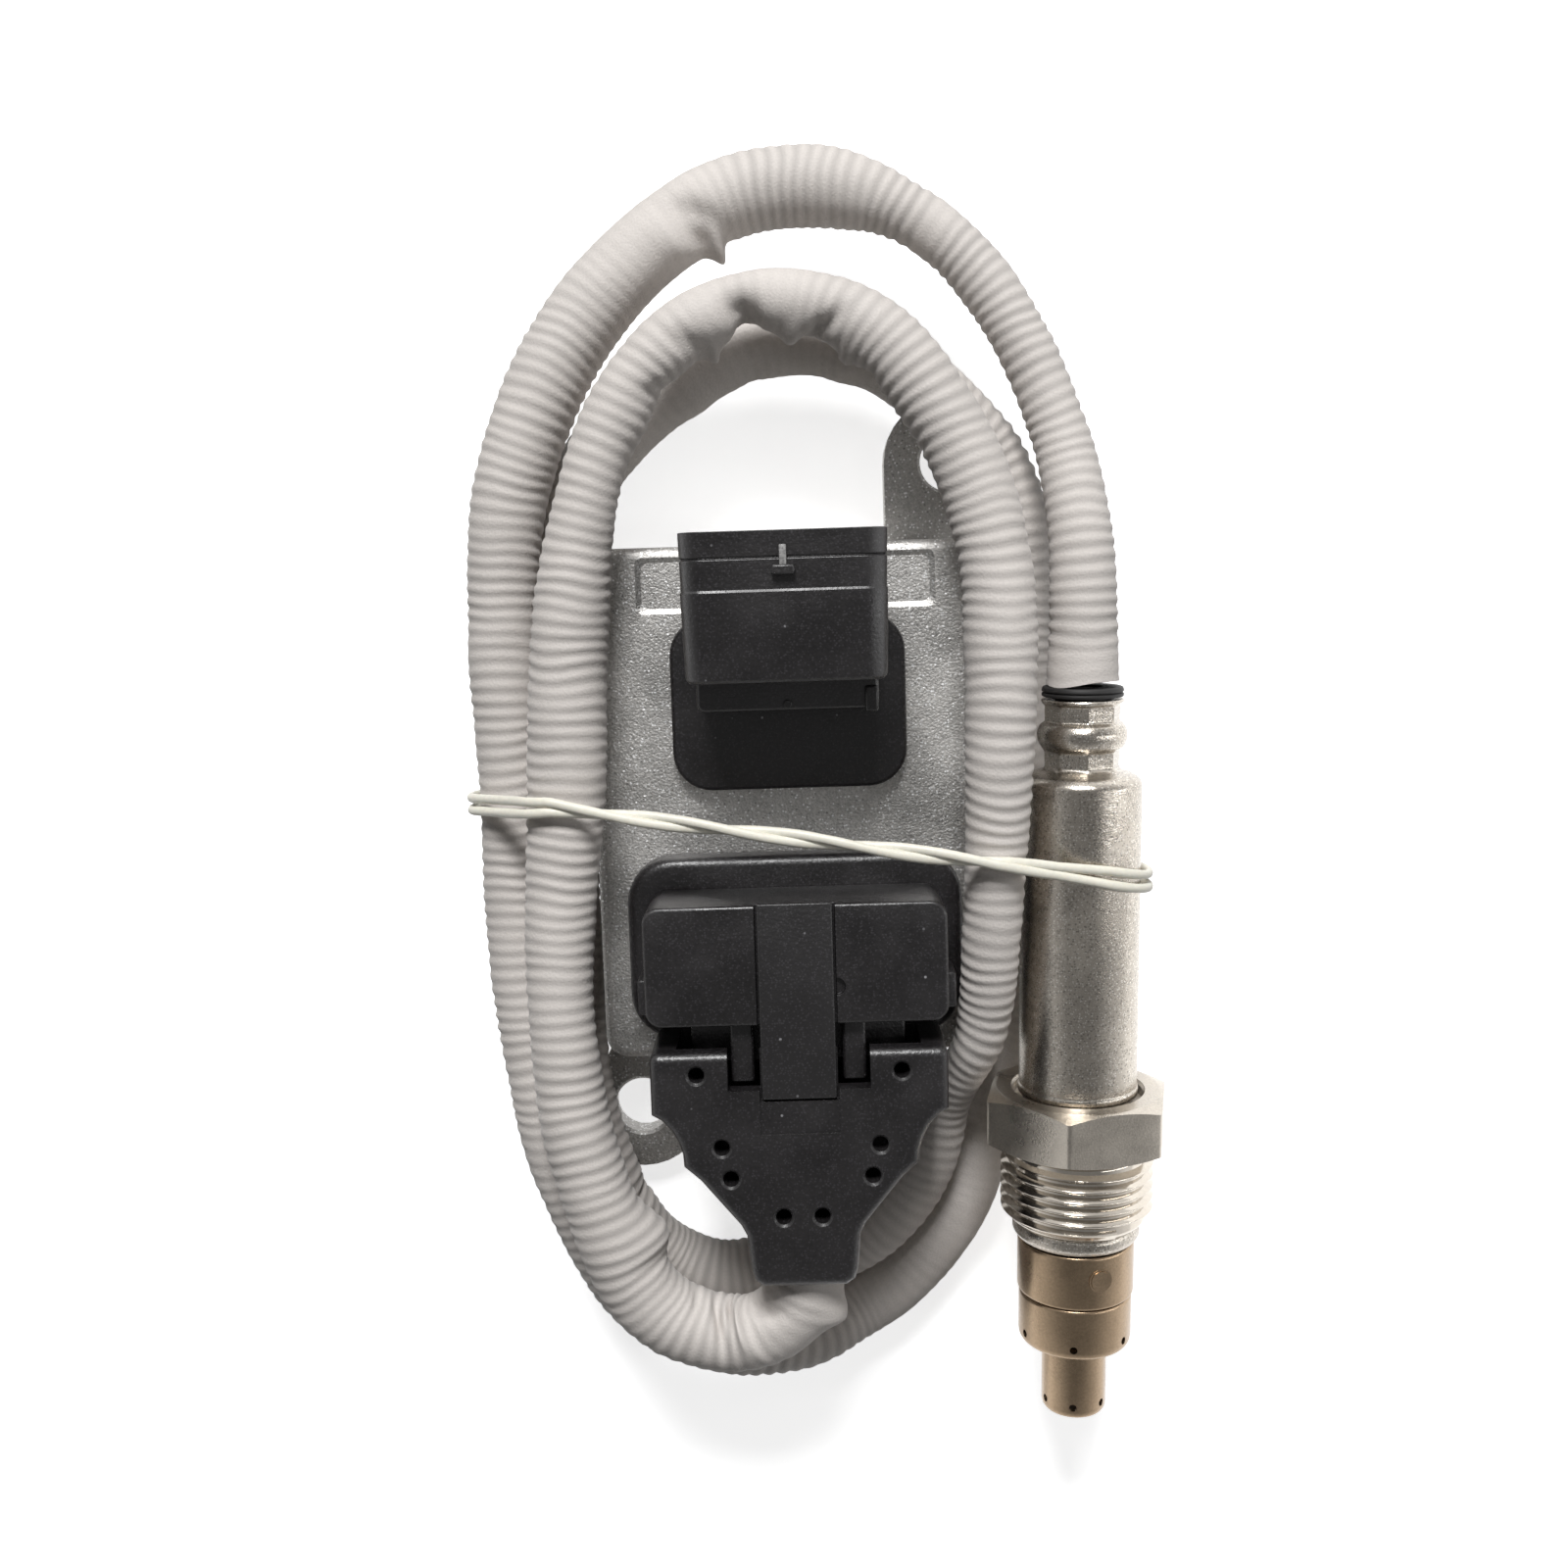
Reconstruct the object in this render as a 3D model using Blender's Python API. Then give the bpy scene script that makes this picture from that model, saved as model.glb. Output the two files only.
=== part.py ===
"""Nitrogen oxide sensor: control unit, coiled sleeve cable and exhaust probe, tied in a bundle.

The object lies face up as it is sold. +X is right, +Y is up the picture, +Z points to the viewer.
All work is done in the unit's own frame, midway between its two ear holes, with the table at z 0.
"""
import math

import bmesh
import bpy
from mathutils import Matrix, Vector

MM = 0.001
GAP = 0.3 * MM                    # free space kept between two separate pieces

# Control unit housing
HOUSING_WIDTH = 51.6 * MM
HOUSING_LENGTH = 67.4 * MM
HOUSING_BACK_Z = 1.6 * MM
HOUSING_FACE_Z = 16.4 * MM
HOUSING_CORNER_R = 3.0 * MM
HOUSING_EDGE_R = 1.3 * MM
WALL = 2.2 * MM
FACE_WALL = 2.5 * MM
LEDGE = 1.8 * MM
COVER_SHEET = 1.0 * MM
GASKET_HEIGHT = 0.8 * MM
EAR_X = 22.5 * MM
EAR_Y = 44.2 * MM
EAR_R = 8.8 * MM
EAR_HOLE_R = 3.9 * MM
EAR_THICKNESS = 4.0 * MM
FOOT_WIDTH = 2.0 * MM
FOOT_LENGTH = 8.0 * MM
FOOT_Y = HOUSING_LENGTH / 2 - 9.7 * MM
RECESS_HALF_WIDTH = HOUSING_WIDTH / 2 - 6.7 * MM
RECESS_LOW_Y = HOUSING_LENGTH / 2 - 8.4 * MM
RECESS_DEPTH = 0.4 * MM

# Circuit board
BOARD_Z = 5.8 * MM
BOARD_THICKNESS = 1.6 * MM
POST_X = HOUSING_WIDTH / 2 - 6.6 * MM
POST_Y = HOUSING_LENGTH / 2 - 6.7 * MM
POST_R = 2.6 * MM
BOARD_SCREW_R = 0.7 * MM
BOARD_SCREW_HEAD_R = 2.0 * MM
CAPACITOR_X = HOUSING_WIDTH / 2 - 9.8 * MM
CAPACITOR_Y = -9.5 * MM
CAPACITOR_R = 3.0 * MM
CAPACITOR_HEIGHT = 5.4 * MM
CAPACITOR_PITCH = 8.5 * MM

# Harness connector
HARNESS_Y = 13.45 * MM
HARNESS_FLANGE_WIDTH = 30.2 * MM
HARNESS_FLANGE_HEIGHT = 22.4 * MM
HARNESS_FLANGE_R = 5.0 * MM
FLANGE_THICKNESS = 1.9 * MM
SHROUD_WIDTH = 23.6 * MM
SHROUD_BACK_Y = 17.0 * MM
SHROUD_FRONT_Y = 34.7 * MM
SHROUD_LOW_Z = 23.0 * MM
SHROUD_TOP_Z = 38.0 * MM
SHROUD_R = 2.6 * MM
SHROUD_WALL = 1.8 * MM
SOCKET_DEPTH = 14.2 * MM
NECK_WIDTH = 22.2 * MM
NECK_BACK_Y = 13.15 * MM
NECK_FRONT_Y = 25.0 * MM
NECK_TOP_Z = SHROUD_TOP_Z - 8.0 * MM
BLADE_PITCH = 3.6 * MM
BLADE_WIDTH = 1.5 * MM
PIN_SIDE = 0.8 * MM
BLADE_Z = (SHROUD_LOW_Z + SHROUD_TOP_Z) / 2
SKIRT_DEPTH = 2.4 * MM
SEAL_BAND = 1.0 * MM              # thickness of a flange seal

# Sensor header and plug
HEADER_Y = -18.2 * MM
HEADER_WIDTH = 43.4 * MM
HEADER_HEIGHT = 24.0 * MM
HEADER_R = 6.0 * MM
HEADER_FACE_Z = 20.5 * MM
PLUG_Y = -17.7 * MM
PLUG_WIDTH = 37.3 * MM
PLUG_HEIGHT = 15.0 * MM
PLUG_R = 2.1 * MM
PLUG_TOP_Z = 33.0 * MM
PLUG_WALL = 1.7 * MM
TOWER_WALL = 1.0 * MM
TOWER_CLEARANCE = 0.5 * MM
CORE_WIDTH = 28.4 * MM
CORE_HEIGHT = 6.0 * MM
CONTACT_PITCH = 7.3 * MM
CONTACT_ROW = 1.6 * MM
CONTACT_PIN_R = 0.32 * MM
CONTACT_R = 0.85 * MM
WING_X = 20.0 * MM
STRIP_WIDTH = 9.2 * MM
STRIP_FRONT_Y = -9.95 * MM
STRIP_END_Y = -34.4 * MM
STRIP_TOP_Z = 33.5 * MM
STRIP_THICKNESS = 1.2 * MM
ARM_IN_X = 5.5 * MM
ARM_OUT_X = 8.4 * MM
ARM_END_Y = -32.8 * MM
ARM_TOP_Z = 31.2 * MM

# Strain relief cover, half outline on the +X side from the plug to the mouth
COVER_TOP_Z = 33.6 * MM
COVER_LOW_Z = 20.8 * MM
COVER_EDGE_R = 1.3 * MM
COVER_WALL = 1.8 * MM
COVER_HALF = [(18.4, -28.3), (18.4, -36.2), (17.2, -36.9), (16.0, -38.2), (15.2, -39.7), (14.7, -41.3),
              (14.6, -42.9), (12.6, -44.7), (7.8, -50.6), (7.1, -52.0), (6.7, -56.4), (6.3, -57.8), (5.2, -58.6)]
COVER_HOLES = [(12.65, -31.1), (9.8, -40.4), (8.8, -44.4), (2.4, -49.45)]
COVER_HOLE_R = 1.0 * MM
SLOT_OUT_X = 8.8 * MM
SLOT_END_Y = -33.2 * MM
CHANNEL_END_Y = -38.8 * MM
MOUTH_Y = -58.6 * MM
MOUTH_Z = 26.5 * MM
MOUTH_BORE_R = 3.4 * MM

# Probe, measured along its axis from the sleeve's end
PROBE_TOP = Vector((37.05, 14.6, 22.45)) * MM
PROBE_SLOPE_X = -0.0164
PROBE_TILT_DEG = 2.0
GROMMET_R = 5.15 * MM
GROMMET_RIM = 1.25 * MM
GROMMET_BORE_R = 2.4 * MM
GROMMET_PLUG_R = 3.5 * MM
GROMMET_END = 9.6 * MM
SHELL_START = 1.55 * MM
CRIMP_R = 4.45 * MM
BULGE_R = 5.65 * MM
BULGE_AT = 6.1 * MM
CRIMP_STEP = 1.2 * MM             # length of one step in the crimped neck's profile
SHOULDER_AT = 10.8 * MM
SHELL_R = 7.6 * MM
SHELL_WALL = 0.6 * MM
SHELL_RIM_R = 7.75 * MM
SHELL_END = 53.1 * MM
NUT_START = 52.4 * MM
NUT_FLATS = 22.0 * MM
NUT_HEX_END = 59.5 * MM
NUT_END = 70.0 * MM
NUT_TURN_DEG = -3.5
THREAD_R = 9.9 * MM
THREAD_PITCH = 1.5 * MM
THREAD_DEPTH = 0.8 * MM
BODY_R = 6.6 * MM
NUT_CLEARANCE = 0.45 * MM
SEAT_R = 8.3 * MM
SEAT_END = 72.6 * MM
COLLAR_R = 7.6 * MM
COLLAR_END = 80.0 * MM
SHIELD_R = 7.38 * MM
SHIELD_END = 87.2 * MM
TIP_R = 4.23 * MM
TIP_END = 97.1 * MM
GAS_HOLE_R = 0.5 * MM
SHIELD_HOLES_AT = 86.0 * MM
TIP_HOLES_AT = 95.4 * MM

# Inside of the probe
CORE_R = 4.85 * MM
CORE_BORE_R = 2.55 * MM
BODY_BORE_R = 5.2 * MM
BODY_START = 44.0 * MM
BUSH_START = 45.0 * MM
BUSH_END = 71.6 * MM
TALC_START = 52.4 * MM
TALC_END = 60.0 * MM
CORE_GAP = 0.4 * MM
ELEMENT_HALF_WIDTH = 2.1 * MM
ELEMENT_HALF_DEPTH = 0.65 * MM
ELEMENT_START = 30.0 * MM
ELEMENT_END = 94.0 * MM
HOLDER_R = 5.6 * MM
HOLDER_BORE_R = 3.1 * MM
HOLDER_START = 24.0 * MM
HOLDER_END = 42.5 * MM
SPRING_HALF_WIDTH = 1.7 * MM
SPRING_THICKNESS = 0.4 * MM
LEAD_R = 1.75 * MM
LEAD_LOBE = 0.3 * MM

# Tie band
BAND_WIDTH = 2.2 * MM
BAND_THICKNESS = 1.1 * MM
BAND_LEFT_Y = 0.9 * MM
BAND_RIGHT_Y = -10.3 * MM

# Sleeve: route from the cover's mouth to the probe, x, y, z and radius in millimetres
ROUTE = [
    (0.0, -58.95, 26.5, 4.9), (0.0, -59.8, 26.5, 4.88), (0.0, -60.9, 26.5, 4.83), (-1.6, -64.0, 26.1, 4.77),
    (-5.0, -66.2, 25.4, 4.7),
    (-9.6, -66.6, 24.8, 4.7), (-17.1, -65.0, 24.7, 4.7), (-21.2, -60.5, 25.4, 4.7), (-23.8, -54.8, 26.3, 4.7),
    (-26.1, -49.6, 26.7, 4.7), (-28.4, -40.5, 27.1, 4.65), (-29.5, -30.8, 26.8, 4.4), (-30.1, -21.1, 26.3, 4.35),
    (-29.3, -8.5, 25.2, 4.7), (-28.3, 2.0, 24.5, 5.0), (-27.8, 9.6, 24.5, 5.1), (-27.2, 19.0, 24.5, 5.0),
    (-26.3, 28.2, 24.5, 4.9), (-25.0, 36.0, 24.2, 4.2), (-22.7, 44.3, 23.8, 4.0), (-19.4, 51.3, 23.2, 4.0),
    (-15.1, 57.4, 22.6, 4.15), (-9.3, 61.5, 22.2, 4.3), (-3.8, 63.3, 22.2, 4.33), (1.0, 63.4, 22.4, 4.37),
    (7.0, 61.9, 22.6, 4.4), (12.0, 58.8, 22.8, 4.5), (16.3, 54.0, 23.2, 4.6), (20.0, 48.5, 23.8, 4.6),
    (23.2, 41.8, 24.6, 4.6), (25.1, 34.9, 25.4, 4.6), (26.1, 28.1, 26.3, 4.6), (26.3, 20.5, 27.3, 4.6),
    (26.1, 12.8, 28.0, 4.4), (25.6, 0.8, 28.0, 4.15), (25.0, -9.7, 27.3, 3.85), (24.4, -19.7, 25.7, 3.75),
    (24.0, -26.5, 23.6, 3.6), (23.0, -31.5, 22.2, 3.3), (21.2, -36.0, 18.9, 3.15), (18.4, -40.4, 14.8, 3.15),
    (17.0, -45.7, 12.9, 3.5), (14.8, -51.0, 12.2, 3.7), (11.3, -56.2, 11.5, 4.0), (6.6, -61.1, 10.0, 4.4),
    (-0.4, -65.5, 7.4, 4.5), (-6.7, -68.1, 5.6, 4.6), (-12.5, -68.9, 5.1, 4.67), (-18.6, -66.5, 5.1, 4.73),
    (-23.3, -61.7, 6.8, 4.75), (-26.8, -53.5, 9.3, 4.65), (-29.1, -45.5, 9.4, 4.6), (-31.3, -37.8, 9.2, 4.6),
    (-32.2, -30.4, 7.9, 4.6), (-32.4, -19.5, 6.8, 4.6), (-31.9, -5.8, 6.8, 4.6), (-31.2, 7.7, 6.8, 4.6),
    (-31.0, 21.0, 6.8, 4.6), (-31.0, 30.0, 6.9, 4.6), (-30.4, 36.6, 7.4, 4.6), (-26.4, 43.6, 8.2, 4.6),
    (-19.8, 50.2, 9.2, 4.6), (-14.8, 53.9, 10.2, 4.6), (-9.5, 57.1, 10.8, 4.6), (-3.7, 59.2, 11.0, 4.6),
    (2.7, 59.9, 11.2, 4.6), (8.4, 59.1, 11.2, 4.6), (14.1, 56.8, 11.0, 4.6), (19.5, 53.0, 10.6, 4.6),
    (24.0, 48.5, 10.2, 4.6), (27.9, 43.7, 9.7, 4.6), (30.2, 37.9, 9.6, 4.58), (31.1, 32.2, 8.9, 4.56),
    (31.2, 24.4, 7.2, 4.54), (30.9, 13.8, 6.9, 4.52), (30.7, 0.5, 6.9, 4.5), (30.7, -13.1, 6.9, 4.51),
    (31.0, -27.0, 6.2, 4.5), (30.3, -34.2, 5.1, 4.42), (26.5, -42.4, 4.9, 4.45), (24.9, -48.3, 5.0, 4.5),
    (23.2, -56.1, 5.3, 4.59), (19.5, -62.6, 5.4, 4.6), (15.6, -67.3, 5.5, 4.6), (11.3, -71.1, 5.8, 4.6),
    (6.5, -73.8, 6.6, 4.6), (1.0, -75.5, 9.4, 4.6), (-4.8, -75.6, 11.8, 4.6), (-10.8, -74.3, 13.6, 4.6),
    (-16.9, -71.8, 14.9, 4.6), (-22.2, -67.5, 16.0, 4.6), (-26.3, -61.3, 17.1, 4.55), (-29.6, -53.7, 18.2, 4.5),
    (-32.2, -44.9, 18.8, 4.53), (-33.8, -35.5, 18.5, 4.55), (-35.2, -26.3, 17.4, 4.57), (-36.0, -17.2, 16.6, 4.6),
    (-36.3, -8.1, 16.3, 4.6), (-36.2, 1.7, 16.3, 4.6), (-36.5, 10.1, 16.3, 4.6), (-36.8, 17.8, 16.2, 4.65),
    (-36.5, 26.6, 16.2, 4.7), (-35.9, 34.1, 16.3, 4.75), (-34.5, 41.0, 16.2, 4.8), (-32.1, 47.7, 15.7, 4.87),
    (-28.7, 55.3, 14.8, 4.93), (-24.2, 62.3, 14.0, 5.0), (-18.9, 68.4, 13.6, 5.02), (-12.5, 74.2, 13.2, 5.03),
    (-5.1, 77.7, 12.8, 5.1), (2.2, 78.8, 12.6, 5.15), (8.1, 78.2, 12.8, 5.0), (14.2, 76.3, 13.2, 4.15),
    (20.5, 72.3, 13.8, 3.75), (25.9, 66.5, 14.6, 3.75), (30.6, 58.7, 15.8, 3.8), (34.1, 49.9, 17.2, 3.8),
    (36.4, 41.1, 19.3, 3.95), (37.3, 31.7, 21.9, 4.3), (37.19, 23.1, 22.72, 4.6), (37.13, 19.3, 22.61, 4.75),
    (37.065, 15.05, 22.47, 4.85),
]
MAX_TURN = math.radians(24.0)     # a cord point at least this often in a bend
MAX_STEP = 13.5 * MM              # and this often on a straight
STRAIGHT_START = 16               # curve steps that leave the cover's mouth square to it


# Small tools
def material(name, rgb, rough, metal=0.0):
    """A plain Principled material."""
    mat = bpy.data.materials.new(name)
    mat.use_nodes = True
    shader = mat.node_tree.nodes["Principled BSDF"]
    shader.inputs["Base Color"].default_value = (*rgb, 1.0)
    shader.inputs["Roughness"].default_value = rough
    shader.inputs["Metallic"].default_value = metal
    return mat


def finish(name, bm, look, smooth_deg=32.0):
    """Turn a bmesh into a named object with outward faces and its own material."""
    bmesh.ops.recalc_face_normals(bm, faces=bm.faces)
    mesh = bpy.data.meshes.new(name)
    bm.to_mesh(mesh)
    bm.free()
    obj = bpy.data.objects.new(name, mesh)
    bpy.context.collection.objects.link(obj)
    if look:
        mesh.materials.append(look)
    mesh.shade_smooth()
    mesh.set_sharp_from_angle(angle=math.radians(smooth_deg))
    return obj


def rounded(width, height, radius, cx=0.0, cy=0.0, steps=4):
    """Corner points of a rounded rectangle, counter-clockwise."""
    points = []
    for k, (sx, sy) in enumerate(((1, 1), (-1, 1), (-1, -1), (1, -1))):
        ox = cx + sx * (width / 2 - radius)
        oy = cy + sy * (height / 2 - radius)
        for i in range(steps + 1):
            a = math.pi / 2 * (k + i / steps)
            points.append((ox + radius * math.cos(a), oy + radius * math.sin(a)))
    return points


def circle(radius, cx=0.0, cy=0.0, sides=16):
    """Points of a circle, counter-clockwise."""
    turn = 2 * math.pi / sides
    return [(cx + radius * math.cos(i * turn), cy + radius * math.sin(i * turn)) for i in range(sides)]


def box_outline(x0, x1, y0, y1):
    """Corner points of a plain rectangle."""
    return [(x1, y1), (x0, y1), (x0, y0), (x1, y0)]


def inset(points, depth):
    """Outline moved inwards by depth, corner by corner; counter-clockwise in and out."""
    moved = []
    n = len(points)
    for i, p in enumerate(points):
        a = Vector(points[i - 1])
        b = Vector(p)
        c = Vector(points[(i + 1) % n])
        d1 = (b - a).normalized()
        d2 = (c - b).normalized()
        n1 = Vector((-d1.y, d1.x))
        n2 = Vector((-d2.y, d2.x))
        m = (n1 + n2).normalized()
        moved.append(tuple(b + m * depth / max(0.35, m.dot(n1))))
    return moved


def add_loft(bm, rings):
    """Add a closed solid through rings of equal count, each a list of 3-D points."""
    rows = [[bm.verts.new(p) for p in ring] for ring in rings]
    n = len(rows[0])
    for low, high in zip(rows, rows[1:]):
        for i in range(n):
            j = (i + 1) % n
            bm.faces.new((low[i], low[j], high[j], high[i]))
    bm.faces.new(list(reversed(rows[0])))
    bm.faces.new(rows[-1])


def add_prism(bm, outline, z0, z1):
    """Add an upright prism on an outline."""
    add_loft(bm, [[(x, y, z0) for x, y in outline], [(x, y, z1) for x, y in outline]])


def add_tube(bm, outer, inner, z0, z1):
    """Add an upright ring with two outlines of equal count."""
    rows = []
    for outline, z in ((outer, z0), (outer, z1), (inner, z1), (inner, z0)):
        rows.append([bm.verts.new((x, y, z)) for x, y in outline])
    n = len(outer)
    for k in range(4):
        a, b = rows[k], rows[(k + 1) % 4]
        for i in range(n):
            j = (i + 1) % n
            bm.faces.new((a[i], a[j], b[j], b[i]))


def add_box(bm, x0, x1, y0, y1, z0, z1):
    """Add an axis-aligned box."""
    add_prism(bm, box_outline(x0, x1, y0, y1), z0, z1)


def add_lathe(bm, profile, sides=32, closed=True, cx=0.0, cy=0.0):
    """Add a solid turned about the local z axis from (radius, height) points.

    A closed profile makes a ring; an open one starts and ends on the axis.
    """
    rows = []
    for r, z in profile:
        if r < 1e-7:
            rows.append([bm.verts.new((cx, cy, z))])
        else:
            rows.append([bm.verts.new((x, y, z)) for x, y in circle(r, cx, cy, sides)])
    pairs = list(zip(rows, rows[1:]))
    if closed:
        pairs.append((rows[-1], rows[0]))
    for a, b in pairs:
        for i in range(sides):
            j = (i + 1) % sides
            if len(a) == 1:
                bm.faces.new((a[0], b[j], b[i]))
            elif len(b) == 1:
                bm.faces.new((a[i], a[j], b[0]))
            else:
                bm.faces.new((a[i], a[j], b[j], b[i]))


def cutter(name, bm):
    """A helper solid, hidden from render."""
    obj = finish(name, bm, None)
    obj.hide_render = True
    obj.display_type = "WIRE"
    return obj


def combine(target, helper, operation):
    """Boolean of a helper on a target."""
    mod = target.modifiers.new(operation.lower() + "_" + helper.name, "BOOLEAN")
    mod.operation = operation
    mod.solver = "EXACT"
    mod.object = helper


def probe_matrix():
    """Place of the probe's own frame: local z runs along its axis to the tip."""
    tilt = math.radians(PROBE_TILT_DEG)
    axis = Vector((PROBE_SLOPE_X, -math.cos(tilt), -math.sin(tilt))).normalized()
    side = axis.cross(Vector((0, 0, 1))).normalized()
    up = side.cross(axis)
    rot = Matrix((side, up, axis)).transposed().to_4x4()
    return Matrix.Translation(PROBE_TOP) @ rot


def on_probe(obj):
    """Put an object modelled along local z on the probe's axis."""
    obj.matrix_world = probe_matrix()
    return obj


# Control unit
def make_housing(look):
    """Die-cast housing with two diagonal ears, two feet, board posts and a label recess."""
    bm = bmesh.new()
    rings = []
    for z, cut in ((HOUSING_BACK_Z, 0.0), (HOUSING_FACE_Z - HOUSING_EDGE_R, 0.0),
                   (HOUSING_FACE_Z - 0.4 * HOUSING_EDGE_R, 0.2 * HOUSING_EDGE_R),
                   (HOUSING_FACE_Z, HOUSING_EDGE_R)):
        outline = rounded(HOUSING_WIDTH - 2 * cut, HOUSING_LENGTH - 2 * cut, HOUSING_CORNER_R - 0.5 * cut)
        rings.append([(x, y, z) for x, y in outline])
    add_loft(bm, rings)
    housing = finish("unit_housing", bm, look)

    bm = bmesh.new()
    for s in (1, -1):
        add_prism(bm, [(s * x, s * y) for x, y in ear_outline()], 0.0, EAR_THICKNESS)
        wall_x = HOUSING_WIDTH / 2 - FOOT_WIDTH
        low, high = sorted((-s * wall_x, -s * (wall_x + FOOT_WIDTH - 0.1 * MM)))
        add_box(bm, low, high, s * FOOT_Y - FOOT_LENGTH / 2, s * FOOT_Y + FOOT_LENGTH / 2, 0.0,
                HOUSING_BACK_Z + 1.0 * MM)
    combine(housing, cutter("cut_ears", bm), "UNION")

    bm = bmesh.new()
    rebate_z = HOUSING_BACK_Z + COVER_SHEET + GASKET_HEIGHT + 2 * GAP
    wide = rounded(HOUSING_WIDTH - 2 * WALL, HOUSING_LENGTH - 2 * WALL, 2.0 * MM)
    narrow = rounded(HOUSING_WIDTH - 2 * (WALL + LEDGE), HOUSING_LENGTH - 2 * (WALL + LEDGE), 2.0 * MM)
    add_loft(bm, [[(x, y, HOUSING_BACK_Z - 0.4 * MM) for x, y in wide], [(x, y, rebate_z) for x, y in wide],
                  [(x, y, rebate_z) for x, y in narrow],
                  [(x, y, HOUSING_FACE_Z - FACE_WALL) for x, y in narrow]])
    combine(housing, cutter("cut_cavity", bm), "DIFFERENCE")

    bm = bmesh.new()
    for sx in (1, -1):
        for sy in (1, -1):
            add_prism(bm, circle(POST_R, sx * POST_X, sy * POST_Y), BOARD_Z + BOARD_THICKNESS + GAP,
                      HOUSING_FACE_Z - FACE_WALL + 1.0 * MM)
    combine(housing, cutter("cut_posts", bm), "UNION")

    bm = bmesh.new()
    low = HOUSING_FACE_Z - FACE_WALL - 1.0 * MM
    add_prism(bm, harness_opening(), low, HOUSING_FACE_Z + 1.0 * MM)
    add_prism(bm, header_opening(), low, HOUSING_FACE_Z + 1.0 * MM)
    for s in (1, -1):
        add_prism(bm, circle(EAR_HOLE_R, s * EAR_X, s * EAR_Y, 32), -1.0 * MM, EAR_THICKNESS + 1.0 * MM)
    for sx in (1, -1):
        for sy in (1, -1):
            add_prism(bm, circle(BOARD_SCREW_R + GAP, sx * POST_X, sy * POST_Y, 12), BOARD_Z,
                      HOUSING_FACE_Z - FACE_WALL - 1.3 * MM)
    combine(housing, cutter("cut_openings", bm), "DIFFERENCE")

    bm = bmesh.new()
    recess_top = HOUSING_LENGTH / 2 - HOUSING_EDGE_R
    mid = (RECESS_LOW_Y + recess_top) / 2
    add_prism(bm, rounded(2 * RECESS_HALF_WIDTH, recess_top - RECESS_LOW_Y, 1.0 * MM, 0.0, mid),
              HOUSING_FACE_Z - RECESS_DEPTH, HOUSING_FACE_Z + 1.0 * MM)
    combine(housing, cutter("cut_recess", bm), "DIFFERENCE")
    return housing


def ear_outline():
    """Outline of the upper right ear, from its root in the wall to its round end."""
    root = HOUSING_LENGTH / 2 - WALL + 0.3 * MM
    points = [(EAR_X + EAR_R * math.cos(math.pi * i / 16), EAR_Y + EAR_R * math.sin(math.pi * i / 16))
              for i in range(17)]
    points.append((EAR_X - EAR_R, root))
    points.append((HOUSING_WIDTH / 2 - 0.4 * MM, root))
    points.append((HOUSING_WIDTH / 2 - 0.4 * MM, HOUSING_LENGTH / 2 - 0.5 * MM))
    return points


def harness_opening():
    """Outline of the harness connector's opening in the face."""
    return rounded(HARNESS_FLANGE_WIDTH - 2.6 * MM, HARNESS_FLANGE_HEIGHT - 3.4 * MM, 2.0 * MM, 0.0, HARNESS_Y)


def header_opening():
    """Outline of the sensor header's opening in the face."""
    return rounded(HEADER_WIDTH - 7.2 * MM, HEADER_HEIGHT - 7.2 * MM, 2.0 * MM, 0.0, HEADER_Y)


def make_back(look_cover, look_gasket):
    """Back sheet and the gasket between it and the housing's ledge."""
    outline = rounded(HOUSING_WIDTH - 2 * (WALL + GAP), HOUSING_LENGTH - 2 * (WALL + GAP), 1.7 * MM)
    z = HOUSING_BACK_Z + 0.1 * MM
    bm = bmesh.new()
    add_prism(bm, outline, z, z + COVER_SHEET)
    finish("back_cover", bm, look_cover)
    bm = bmesh.new()
    z += COVER_SHEET + GAP
    add_tube(bm, outline, inset(outline, 1.3 * MM), z, z + GASKET_HEIGHT - 0.1 * MM)
    finish("cover_gasket", bm, look_gasket)


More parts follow.
